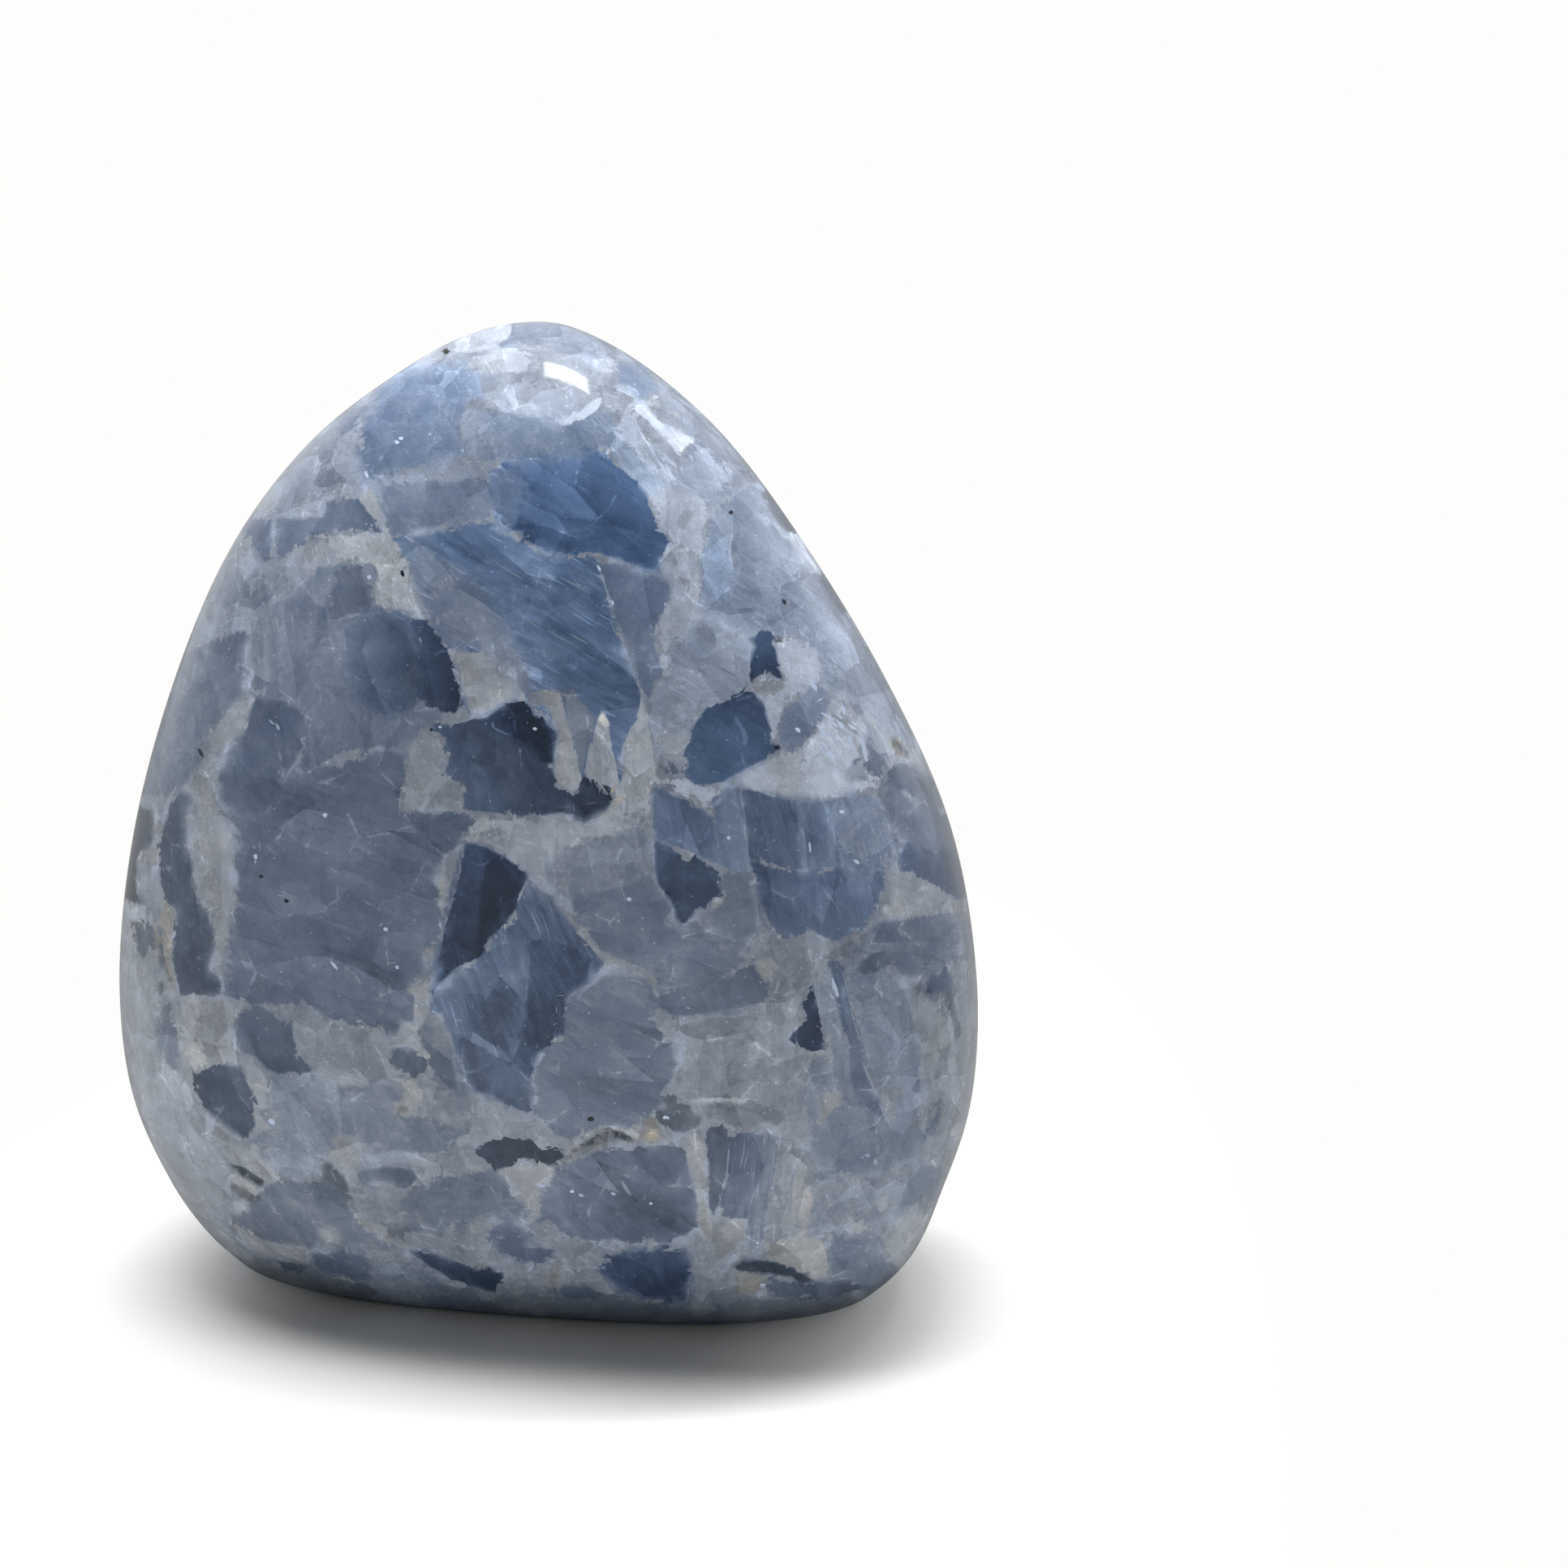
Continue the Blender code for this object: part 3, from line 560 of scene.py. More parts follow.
crystal("great blade", "1041,1178 1060,1177 1080,1185 1096,1200 1115,1220 1125,1250 1130,1290 1136,1330 "
        "1131,1370 1112,1396 1098,1390 1086,1360 1076,1325 1066,1295 1058,1265 1050,1240 1043,1210",
        (0.54, 0.59, 30), 0.50, ragged=1.5, lines=(72, 0.4), seam=0.25, soft=1)
crystal("blade shadow", "1046,1232 1052,1255 1061,1290 1068,1320 1079,1345 1097,1388 1080,1375 1064,1362 "
        "1052,1345 1046,1310 1048,1270", (0.42, 0.44, 90), 0.62, ragged=1, soft=2.5)
crystal("smoky corner", "1118,1210 1135,1200 1150,1196 1162,1190 1170,1205 1176,1225 1166,1236 1146,1236 "
        "1130,1226", (0.42, 0.45, 0), 0.35, ragged=4, soft=4)
crystal("rim blade", "1162,1190 1169,1200 1174,1220 1178,1245 1184,1270 1178,1282 1170,1250 1163,1226",
        (0.40, 0.44, 90), 0.35, ragged=2)
crystal("gritty right", "1120,1225 1140,1238 1165,1240 1172,1262 1170,1290 1150,1310 1140,1300 1130,1270",
        (0.61, 0.60, 0), 0.20, ragged=5, soft=3)
print("crystals so far:", len(drawn))

# %% [markdown]
# The low left has dark ovals, pale veins and open chips. The chips are drawn like crystals here and pushed
# into the surface further on.

# %% Draw the low left and the foot
crystal("low dark oval", "503,1540 520,1540 540,1545 560,1552 585,1560 605,1562 620,1568 623,1580 612,1591 "
        "600,1592 580,1586 555,1575 530,1561 512,1550", (0.36, 0.28, 10), 0.60, ragged=2.5, soft=0.8)
crystal("left dark oval", "436,1447 450,1440 470,1436 500,1438 522,1441 513,1455 500,1466 488,1466 480,1460 "
        "460,1460 445,1455", (0.38, 0.37, 0), 0.40, ragged=2.5)
crystal("low ink blue", "738,1560 750,1545 780,1540 820,1535 846,1540 853,1560 848,1590 846,1606 820,1605 "
        "790,1600 760,1590 742,1572", (0.36, 0.30, 40), 0.80, soft=2.5)
crystal("foot dark", "685,1590 695,1582 720,1583 742,1592 735,1602 700,1603", (0.40, 0.38, 0), 0.45,
        ragged=2, soft=2)
crystal("pale vein", "290,1512 310,1520 330,1530 350,1535 375,1538 384,1546 375,1553 345,1550 320,1545 "
        "304,1535", (0.60, 0.60, 0), 0.12)
crystal("below the vein", "338,1550 365,1552 376,1562 368,1569 350,1562", (0.40, 0.40, 0), 0.25, ragged=2)
crystal("vein two", "438,1500 455,1505 468,1514 478,1524 492,1528 506,1526 512,1536 500,1540 480,1532 "
        "460,1520 445,1512", (0.58, 0.60, 0), 0.05)
crystal("dark shelf", "468,1506 485,1504 505,1512 510,1520 500,1526 485,1522", (0.44, 0.44, 0), 0.2)
crystal("left low block", "384,1546 420,1542 446,1545 461,1560 457,1578 430,1578 400,1568 386,1560",
        (0.43, 0.43, 0), 0.50, ragged=2)
crystal("chip crack", "284,1436 300,1439 313,1448 326,1456 320,1463 308,1456 296,1448", (0.36, 0.36, 0),
        0.05, ragged=1.5)
crystal("chip", "278,1450 288,1442 300,1452 312,1460 320,1470 310,1476 297,1470 282,1464", (0.66, 0.66, 0),
        0.00, ragged=2, glint=0.04)
crystal("chip crack two", "285,1463 300,1468 312,1475 320,1472 322,1478 308,1481 295,1475", (0.40, 0.40, 0),
        0.0, ragged=1.5)
crystal("chip two", "286,1482 298,1478 303,1490 292,1490", (0.66, 0.66, 0), 0.0, ragged=2)
crystal("lower seam patch", "262,1385 275,1392 285,1400 300,1406 318,1408 330,1430 345,1452 330,1458 "
        "310,1445 285,1432 272,1420 264,1402", (0.60, 0.62, 0), 0.15, ragged=4)
crystal("dim mark", "395,1440 400,1432 408,1431 414,1440 424,1450 431,1458 432,1470 426,1478 418,1466 "
        "408,1456 397,1450", (0.40, 0.42, 0), 0.20, ragged=1.5, soft=2)
crystal("pale patch mid low", "395,1518 412,1516 416,1528 408,1533 398,1526", (0.66, 0.66, 0), 0.05)
crystal("pale post low left", "412,1402 440,1400 445,1420 437,1440 438,1470 440,1490 432,1485 430,1455 "
        "420,1440 402,1432 405,1415", (0.58, 0.60, 0), 0.12, ragged=4, soft=2)
crystal("rim chip", "1098,913 1108,909 1118,925 1128,935 1120,938 1108,930 1100,922", (0.57, 0.52, 0), -0.12,
        ragged=1.5)
print("crystals so far:", len(drawn))

# %% [markdown]
# ## Small crystals and hazes
#
# Narrow pieces lie over the others: teeth and tips between the large crystals, thin lights, and slivers at
# the rim. They come late, so that nothing hides them.

# %% Draw the small crystals
crystal("flank band", "321,700 318,730 314,760 310,800 306,850 312,858 318,862 330,850 338,820 344,780 "
        "352,740 360,700 345,690", (0.57, 0.49, 90), 0.36, ragged=1.5, lines=(82, 0.6), soft=5)
crystal("left tooth", "316,857 332,862 352,866 366,872 374,882 373,905 371,925 364,943 356,952 345,975 "
        "330,1000 310,1010 290,1000 285,960 292,925 302,905 308,885", (0.38, 0.44, 90), 0.55, ragged=1.5,
        soft=2.5)
crystal("middle finger", "690,851 708,846 716,862 728,880 733,896 727,912 722,930 719,950 716,955 708,915 "
        "697,880", (0.44, 0.50, 90), 0.42, ragged=1, lines=(78, 0.4), soft=1)
# The finger flash is a painted glint on a cleavage face.
crystal("finger flash", "770,918 773,930 771,942 762,948 764,936", (0.76, 0.70, 90), 0.15, ragged=1.5)
crystal("finger ochre", "790,874 796,880 797,888 791,885", (0.80, 0.78, 0), -0.12, ragged=1, soft=0.7)
crystal("sparkle band", "632,797 650,796 670,800 690,803 700,808 690,812 670,809 650,804 636,803",
        (0.47, 0.47, 0), 0.80, soft=3, glint=0.22)
crystal("pale apron", "434,1450 438,1456 450,1458 462,1461 484,1460 500,1468 520,1466 515,1480 530,1492 "
        "545,1500 540,1515 520,1512 505,1505 490,1510 475,1506 462,1503 445,1495 437,1480", (0.60, 0.48, 20),
        0.30, soft=5)
crystal("small nub", "534,1516 540,1514 546,1520 547,1526 542,1528 536,1523", (0.40, 0.40, 0), 0.30,
        ragged=1)
crystal("pale streak", "504,1526 512,1521 530,1522 550,1528 566,1530 560,1538 570,1546 585,1554 600,1560 "
        "596,1563 578,1558 560,1548 545,1541 525,1538 508,1538", (0.60, 0.55, 0), 0.20, soft=2)
crystal("low cloud", "602,1520 612,1508 625,1502 640,1506 650,1514 655,1522 650,1535 680,1540 684,1550 "
        "660,1560 640,1556 620,1545 608,1535", (0.42, 0.40, 0), 0.55, soft=2.5)
crystal("low light patch", "578,1512 590,1504 605,1506 613,1504 606,1514 590,1520 580,1518", (0.62, 0.60, 0),
        0.15)
crystal("dark foot", "455,1580 460,1566 468,1558 480,1557 496,1556 515,1562 540,1573 565,1585 590,1596 "
        "612,1606 622,1616 580,1617 540,1612 500,1606 480,1600 465,1592", (0.56, 0.46, 60), 0.45, ragged=1.5,
        soft=2)
crystal("ochre shade", "678,1556 686,1552 694,1556 690,1570 682,1584 674,1590 676,1572", (0.52, 0.50, 0),
        -0.08, soft=3)
crystal("blade tip", "1076,1340 1084,1355 1092,1374 1098,1391 1102,1380 1104,1368 1108,1350 1112,1340",
        (0.58, 0.64, 90), 0.25, ragged=1)
crystal("pale hook", "1002,1352 1018,1346 1036,1345 1039,1352 1036,1360 1026,1368 1020,1378 1012,1386 "
        "1000,1390 1006,1378 1010,1368 1014,1360", (0.58, 0.54, 90), 0.08)
crystal("blue wedge", "1135,1432 1150,1436 1160,1440 1180,1418 1175,1440 1160,1458 1150,1470 1135,1478 "
        "1118,1486 1105,1492 1112,1470 1122,1450 1130,1440", (0.46, 0.56, 0), 0.50, ragged=2, soft=2)
crystal("small fan", "1134,1434 1150,1428 1156,1430 1150,1440 1143,1446 1137,1440", (0.68, 0.66, 0), 0.20,
        ragged=2, glint=0.05)
crystal("rim chip low", "1169,1398 1178,1384 1190,1380 1186,1394 1181,1406 1174,1404", (0.68, 0.66, 0), 0.15,
        ragged=1)
crystal("pale pair", "1078,1486 1084,1474 1094,1469 1101,1476 1112,1472 1108,1480 1096,1488 1084,1490",
        (0.62, 0.60, 0), 0.20)
crystal("low blue edge", "1062,1588 1070,1575 1082,1565 1092,1562 1102,1568 1094,1580 1080,1590",
        (0.46, 0.44, 0), 0.55, ragged=1.5)
crystal("rim point", "1158,1199 1165,1188 1171,1201 1174,1217 1166,1225 1158,1222 1140,1225 1143,1207 "
        "1150,1201", (0.36, 0.42, 0), 0.65, ragged=1, soft=2)
crystal("dark wedge low", "1158,1352 1164,1365 1160,1380 1150,1390 1141,1398 1146,1378 1150,1362",
        (0.42, 0.44, 0), 0.55, soft=3)
crystal("rim middle", "1140,985 1155,1000 1170,1030 1181,1052 1150,1050 1120,1040 1115,1010",
        (0.42, 0.42, 0), 0.60)
print("crystals so far:", len(drawn))

# %% [markdown]
# A haze is a shape with a very soft edge, which lightens or darkens part of a crystal. It stands in for a
# cloud inside the stone, because the pattern here lies on the surface alone.

# %% Draw the hazes and the last pieces
crystal("arc light", "1035,985 1060,978 1085,985 1100,1030 1103,1068 1075,1072 1040,1070 1030,1030",
        (0.50, 0.56, 0), 0.55, lines=(75, 0.7), soft=9)
crystal("field haze", "505,665 530,680 550,705 575,740 600,775 630,800 650,830 660,860 640,850 610,815 "
        "580,780 550,750 525,715 508,690", (0.53, 0.53, 0), 0.50, ragged=2, soft=14)
crystal("window haze", "600,520 640,500 690,496 731,512 755,545 735,560 700,562 655,566 612,568",
        (0.56, 0.47, 90), 0.60, ragged=4, soft=8)
crystal("window haze left", "600,585 612,568 640,575 650,600 640,640 620,650 608,620", (0.48, 0.46, 0), 0.80,
        ragged=4, soft=8)
# The rim band is painted shade: a dark band along the right rim that stands in for the dim reflection where
# the surface turns away.
crystal("painted dark rim band", "926,588 950,604 975,636 990,658 1008,682 1029,710 1050,758 1036,757 1010,716 990,684 "
        "968,656 953,636 938,612", (0.42, 0.44, 90), 0.40, ragged=1, soft=1)
crystal("fan step", "1088,1126 1090,1118 1100,1114 1101,1106 1112,1104 1118,1112 1116,1119 1118,1127 "
        "1100,1130", (0.66, 0.62, 0), 0.12, ragged=1, soft=1)
crystal("under the step", "1072,1162 1086,1136 1132,1131 1135,1160 1098,1163", (0.43, 0.45, 0), 0.50,
        ragged=1, soft=1)
crystal("dark point", "1050,1200 1062,1182 1078,1172 1100,1170 1118,1180 1090,1190 1070,1202",
        (0.40, 0.46, 0), 0.45, ragged=1.5)
crystal("triangle face", "599,1048 620,1054 638,1065 650,1075 644,1088 638,1100 627,1112 613,1128 602,1156 "
        "592,1174 588,1150 592,1100", (0.26, 0.22, 90), 1.10, ragged=0.8, soft=5)
crystal("foot of the blue", "566,1276 600,1294 640,1318 654,1330 656,1352 652,1372 636,1366 610,1352 "
        "585,1344 572,1330 564,1300", (0.36, 0.36, 0), 0.75, lines=(68, 0.4), ragged=1)
crystal("triangle heart", "652,1156 680,1158 708,1168 730,1180 724,1208 700,1230 694,1250 692,1276 678,1286 "
        "664,1296 658,1315 652,1332 640,1320 628,1310 640,1280 648,1240 650,1190", (0.34, 0.33, 90), 0.95,
        lines=(68, 0.8), ragged=1.5)
crystal("dark bank haze", "425,775 445,758 475,754 500,765 518,790 520,850 505,878 470,885 440,865 425,830",
        (0.44, 0.37, 0), 0.65, ragged=2, soft=14)
# The cloud under the light is partly a pale cloud and partly painted light: the glow below the highlight near
# the tip.
crystal("cloud and painted glow under the highlight", "598,502 610,484 636,468 668,472 700,480 722,490 714,508 692,520 665,518 "
        "640,510 622,504", (0.68, 0.68, 0), 0.32, soft=5)
crystal("band under the window", "594,1004 640,1009 690,1017 722,1020 750,1012 768,1001 778,990 784,1000 "
        "770,1016 750,1030 725,1038 700,1041 682,1052 662,1042 640,1031 612,1021 592,1029 576,1038 570,1034 "
        "582,1016", (0.67, 0.67, 0), 0.18, ragged=2.5, soft=3)
crystal("bright flake", "684,519 700,513 716,505 728,496 738,489 743,493 735,506 722,514 708,520 694,524",
        (0.78, 0.78, 0), 0.25, ragged=1, soft=0.8)
crystal("dull flake", "702,440 716,441 727,451 731,462 718,461 707,454", (0.56, 0.54, 0), 0.35, ragged=1,
        soft=1)
crystal("white sliver", "280,1258 284,1257 286,1275 284,1286 279,1284", (0.68, 0.66, 0), 0.10, ragged=1)
print("crystals drawn:", len(drawn))

# %% [markdown]
# ## Small marks
#
# Sparks, scratches and specks are too small for an outline. Each is a long or round oval: its middle on the
# sheet, its length and width, the way that it lies and its lightness.

# %% Draw the sparks and the specks
marks = []


def mark(x, y, length, width, lies=0, tone=0.92):
    marks.append((x, y, length, width, lies, tone))


# Sparks on the left and in the middle: painted glints, tiny bright flashes where light catches the stone.
mark(489, 545, 6, 4.5, 40)
mark(494, 540, 5, 3.5, 0)
mark(530, 535, 4, 3, 0, 0.8)
mark(452, 585, 10, 4, 70)
mark(738, 700, 10, 4, 60)
mark(753, 742, 9, 5, 40)
mark(659, 898, 5, 4)
mark(400, 1004, 7, 6)
mark(412, 1190, 15, 4, 50)
mark(475, 1145, 6, 5)
mark(490, 1192, 6, 5)
mark(315, 1055, 7, 5, 80)
# Spangles on the right flank, where thin flakes catch the light.
mark(1006, 830, 32, 4, 65, 0.8)
mark(1020, 883, 18, 4, 30, 0.85)
mark(1014, 920, 12, 4, 60, 0.8)
mark(1027, 910, 10, 4, 70, 0.8)
mark(1064, 920, 30, 4, 78, 0.8)
mark(1003, 846, 13, 6, 55, 0.84)
mark(1012, 900, 13, 6, 60, 0.86)
mark(1036, 893, 10, 6, 40, 0.86)
mark(1048, 914, 16, 5, 70, 0.82)
mark(1023, 930, 10, 5, 20, 0.88)
mark(1040, 876, 12, 4, 80, 0.82)
mark(983, 899, 9, 5, 50)
# Lone sparks, painted glints too.
mark(898, 1033, 8, 5, 80)
mark(1055, 1062, 9, 6, 20)
mark(1038, 1000, 7, 5)
mark(998, 1044, 12, 3, 85)
mark(775, 1108, 6, 5)
mark(848, 1242, 5, 3, 30, 0.8)
mark(667, 1461, 12, 3, 15, 0.82)
mark(705, 1468, 5, 3.5)
mark(802, 1483, 5, 4)
mark(335, 1382, 7, 5, 30, 0.9)
mark(820, 1377, 8, 6)
mark(940, 1584, 7, 4)
# Dark pits.
mark(550, 432, 10, 7, 0, 0.08)
mark(901, 632, 5, 5, 0, 0.12)
mark(966, 741, 6, 3.5, 60, 0.12)
mark(496, 707, 8, 5, 70, 0.10)
mark(532, 899, 6, 5, 0, 0.12)
mark(353, 1110, 6, 5, 0, 0.15)
mark(247, 927, 12, 4, 60, 0.18)
mark(322, 1080, 6, 5, 0, 0.2)
mark(728, 1379, 7, 6, 0, 0.15)
mark(957, 921, 8, 5, 0, 0.15)
print("sparks and specks drawn:", len(marks))

# %% [markdown]
# Where a cleavage plane comes up to the polish, it shows as a thin pale streak. Streaks are marks too, only
# long and narrow ones, and a row of them makes the fringe of a crystal.

# %% Draw the streaks
# In the striped field and beside it.
mark(628, 704, 42, 2, 31, 0.58)
mark(660, 713, 46, 2, 31, 0.58)
mark(705, 719, 45, 2, 29, 0.58)
mark(651, 765, 46, 2, 33, 0.58)
mark(691, 786, 44, 2, 30, 0.58)
mark(713, 787, 38, 2, 28, 0.58)
mark(897, 828, 29, 2.5, 28, 0.55)
mark(639, 828, 58, 3, 73, 0.62)
# Along the edge right of the field, and along the blades.
mark(747, 726, 56, 2.5, 71, 0.68)
mark(768, 782, 50, 2, 67, 0.60)
mark(789, 850, 66, 2.5, 76, 0.64)
mark(802, 902, 44, 2.5, 77, 0.66)
mark(1043, 1218, 56, 2.5, 77, 0.66)
mark(1056, 1270, 50, 2.5, 73, 0.66)
mark(1071, 1328, 50, 2.5, 67, 0.68)
mark(1090, 1374, 40, 3, 65, 0.70)
# Short lights all over.
mark(1027, 1212, 16, 4, 80, 0.9)
mark(1031, 1223, 18, 4, 76, 0.92)
mark(1025, 1228, 12, 3, 60, 0.85)
mark(716, 1473, 6, 3, 15, 0.8)
mark(756, 1471, 5, 3, 30, 0.8)
mark(770, 1462, 20, 4, 58, 0.62)
mark(1069, 1424, 9, 6, 0, 0.72)
mark(1079, 1432, 8, 5, 60, 0.72)
mark(455, 711, 4, 4, 0, 0.9)
mark(335, 890, 12, 3, 40, 0.72)
mark(342, 895, 9, 3, 60, 0.75)
mark(518, 789, 10, 4, 70, 0.62)
mark(542, 896, 6, 5, 0, 0.9)
# The fringe of the fringed patch.
for x, y in (
    (706, 1236), (704, 1256), (702, 1272), (694, 1290), (682, 1302), (676, 1318), (670, 1334), (666, 1350),
    (662, 1366),
):
    mark(x, y, 26, 3.5, 25, 0.56)
# Down the stripes, and across the low right.
mark(896, 1440, 70, 3, 95, 0.60)
mark(951, 1445, 90, 3, 97, 0.62)
mark(975, 1470, 70, 3, 96, 0.64)
mark(1045, 1450, 105, 3, -9, 0.64)
mark(1145, 1417, 95, 3, -28, 0.66)
print("marks drawn:", len(marks))

# %% [markdown]
# ## A fine surface over the solid
#
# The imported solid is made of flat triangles, which a gloss would show at once. A sculpted copy or a remesh
# would round it, but a subdivision surface keeps the shape and flows along its grid. So the solid's mesh is
# copied, its loose triangles are merged and paired into quads, and the copy is subdivided once.

# %% Make the fine surface
SAME_POINT = 0.01 * MM
PAIR_ANGLE = math.radians(60)
PAIR_SKEW = math.radians(80)

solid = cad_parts["stone"]
bpy.ops.object.select_all(action="DESELECT")
stone = bpy.data.objects.new("polished_stone", solid.data.copy())
bpy.context.scene.collection.objects.link(stone)
stone.select_set(True)
bpy.context.view_layer.objects.active = stone
bpy.ops.object.mode_set(mode="EDIT")
bpy.ops.mesh.select_all(action="SELECT")
bpy.ops.mesh.remove_doubles(threshold=SAME_POINT)
bpy.ops.mesh.tris_convert_to_quads(face_threshold=PAIR_ANGLE, shape_threshold=PAIR_SKEW)
bpy.ops.object.mode_set(mode="OBJECT")
quads = sum(len(face.vertices) == 4 for face in stone.data.polygons)
print("faces after pairing:", len(stone.data.polygons), "of them quads:", quads)

refine = stone.modifiers.new("refine", "SUBSURF")
refine.levels = refine.render_levels = 1
bpy.ops.object.modifier_apply(modifier=refine.name)
stone.data.shade_smooth()

# %% [markdown]
# ## The stone as a drawing sheet
#
# To draw on a round stone, each of its points needs a place on the sheet. Where the camera sees a point,
# that place is where it shows in the picture. Past the rim the sheet is unrolled: it goes on outwards at its
# true size, so that a crystal that meets the rim runs round it.

# %% Find each point's place on the sheet
POINTS_PER_MM = 10.6

view = np.array(camera.matrix_world.to_3x3())
right, up, back = view[:, 0], view[:, 1], view[:, 2]


def unroll(mesh):
    """Each point's place on the sheet, how far past the rim it lies, and the rim's places and ways out."""
    count = len(mesh.vertices)
    places = np.zeros(count * 3)
    mesh.vertices.foreach_get("co", places)
    places = places.reshape(-1, 3)
    normals = np.array([vert.normal[:] for vert in mesh.vertices])
    to_point = places - np.array(CAMERA_PLACE)
    depth = -(to_point @ back)
    sheet = np.stack([
        PICTURE_SIDE / 2 + FOCAL_PIXELS * (to_point @ right) / depth,
        PICTURE_SIDE / 2 - FOCAL_PIXELS * (to_point @ up) / depth,
    ], axis=1)
    facing = -(to_point * normals).sum(axis=1)
    ends = np.array([edge.vertices[:] for edge in mesh.edges])
    ends = ends[(facing[ends[:, 0]] > 0) != (facing[ends[:, 1]] > 0)]
    rim = np.unique(np.where(facing[ends[:, 0]] > 0, ends[:, 0], ends[:, 1]))
    way_out = np.stack([normals[rim] @ right, -(normals[rim] @ up)], axis=1)
    way_out /= np.linalg.norm(way_out, axis=1)[:, None]
    rim_places = sheet[rim].copy()
    on_rim = KDTree(len(rim))
    for index, vert in enumerate(rim):
        on_rim.insert(places[vert], index)
    on_rim.balance()
    past_rim = np.zeros(count)
    for point in np.flatnonzero(facing <= 0):
        nearest, gap = on_rim.find(places[point])[1:]
        past_rim[point] = gap / MM * POINTS_PER_MM
        sheet[point] = rim_places[nearest] + way_out[nearest] * past_rim[point]
    return sheet, past_rim, rim_places, way_out


# %% [markdown]
# ## More points where the drawing needs them
#
# A drawn edge can't be sharper than the points that carry it. Points all over would make the mesh too heavy,
# so the side that is drawn on is divided again, and once more along the outlines.

# %% Divide the surface along the drawing
# On the sheet: how far past the rim the drawing and its sharp outlines go, how close the points along an
# outline are set, and how near to them a face is divided again.
DRAWN_PAST_RIM = 110
SHARP_PAST_RIM = 20
OUTLINE_STEP = 4
OUTLINE_REACH = 6.2


def divide(chosen):
    bpy.ops.object.mode_set(mode="EDIT")
    bpy.ops.mesh.select_all(action="DESELECT")
    bpy.ops.object.mode_set(mode="OBJECT")
    stone.data.polygons.foreach_set("select", chosen)
    bpy.ops.object.mode_set(mode="EDIT")
    bpy.ops.mesh.select_mode(type="FACE")
    bpy.ops.mesh.subdivide(number_cuts=1, smoothness=1.0)
    bpy.ops.object.mode_set(mode="OBJECT")


def face_middles(values):
    return np.array([values[list(face.vertices)].mean(axis=0) for face in stone.data.polygons])


sheet, past_rim, rim_places, way_out = unroll(stone.data)
divide(face_middles(past_rim) < DRAWN_PAST_RIM)

sheet, past_rim, rim_places, way_out = unroll(stone.data)
spots = [
    start + (end - start) * t
    for piece in drawn
    for start, end in zip(piece["corners"], np.roll(piece["corners"], -1, axis=0))
    for t in np.arange(0, 1, OUTLINE_STEP / max(np.linalg.norm(end - start), OUTLINE_STEP))
]
spots += [np.array(oval[:2]) for oval in marks]
along_outlines = KDTree(len(spots))
for index, spot in enumerate(spots):
    along_outlines.insert((*spot, 0), index)
along_outlines.balance()
close = np.array([along_outlines.find((*middle, 0))[2] < OUTLINE_REACH for middle in face_middles(sheet)])
divide(close & (face_middles(past_rim) < SHARP_PAST_RIM))

sheet, past_rim, rim_places, way_out = unroll(stone.data)
count = len(stone.data.vertices)
stone.data.calc_loop_triangles()
print("points:", count, "triangles:", len(stone.data.loop_triangles))

# %% [markdown]
# ## How deep each point lies in each crystal
#
# For a sharp edge between two points, each point keeps a signed distance: how far it lies inside a crystal's
# outline, or outside it as a negative number. The material draws the edge where that number passes zero.
# Outlines that end at the rim are first pulled past it, so that the crystals go on round the side. There each
# one ends at a place of its own in a wavy edge, because one common end would show as a seam.

# %% Measure the distances
# On the sheet: how deep crystals are measured, how close to the rim a point of an outline counts as on it,
# how far such a point is pulled out, where crystals end past the rim, and how wavy that end is.
REACH = 60.0
AT_RIM = 9
RIM_PULL = (25, 110)
RIM_END = (50, 115)
RIM_WAVE = 14


def signed_distance(points, corners):
    nearest = np.full(len(points), np.inf)
    inside = np.zeros(len(points), dtype=bool)
    for start, end in zip(corners, np.roll(corners, -1, axis=0)):
        along = end - start
        if along @ along < 1e-6:
            continue
        t = np.clip((points - start) @ along / (along @ along), 0, 1)
        nearest = np.minimum(nearest, np.linalg.norm(points - start - t[:, None] * along, axis=1))
        if abs(along[1]) > 1e-9:
            crosses = (start[1] > points[:, 1]) != (end[1] > points[:, 1])
            inside ^= crosses & (points[:, 0] < start[0] + (points[:, 1] - start[1]) / along[1] * along[0])
    return np.where(inside, nearest, -nearest)


def scattered(index, share, low, high):
    """A number between low and high that jumps about from one index to the next."""
    return low + (high - low) * (index * share % 1)


depths = np.full((len(drawn), count), -REACH, dtype=np.float32)
for index, piece in enumerate(drawn):
    corners = piece["corners"].copy()
    pull = scattered(index, 0.618, *RIM_PULL)
    for corner in corners:
        gaps = np.linalg.norm(rim_places - corner, axis=1)
        nearest = gaps.argmin()
        if gaps[nearest] < AT_RIM or (corner - rim_places[nearest]) @ way_out[nearest] > 0:
            corner += way_out[nearest] * pull
    low, high = corners.min(axis=0) - REACH, corners.max(axis=0) + REACH
    near = np.flatnonzero(((sheet > low) & (sheet < high)).all(axis=1))
    depth = signed_distance(sheet[near], corners)
    end = scattered(index, 0.381, *RIM_END) + RIM_WAVE * np.sin(sheet[near] @ (0.05, 0.11) + index)
    depths[index, near] = np.clip(np.minimum(depth, end - past_rim[near]), -REACH, REACH)
print("crystals measured:", len(depths))

# %% [markdown]
# ## Pits and chips
#
# The polish leaves a few places open: a crevice low in the middle, small chips at the lower left and one at
# the right rim. Bump would only shade them, and at the rim it would show nothing. The points inside those
# outlines are pushed inwards instead, so the stone never grows past the solid.

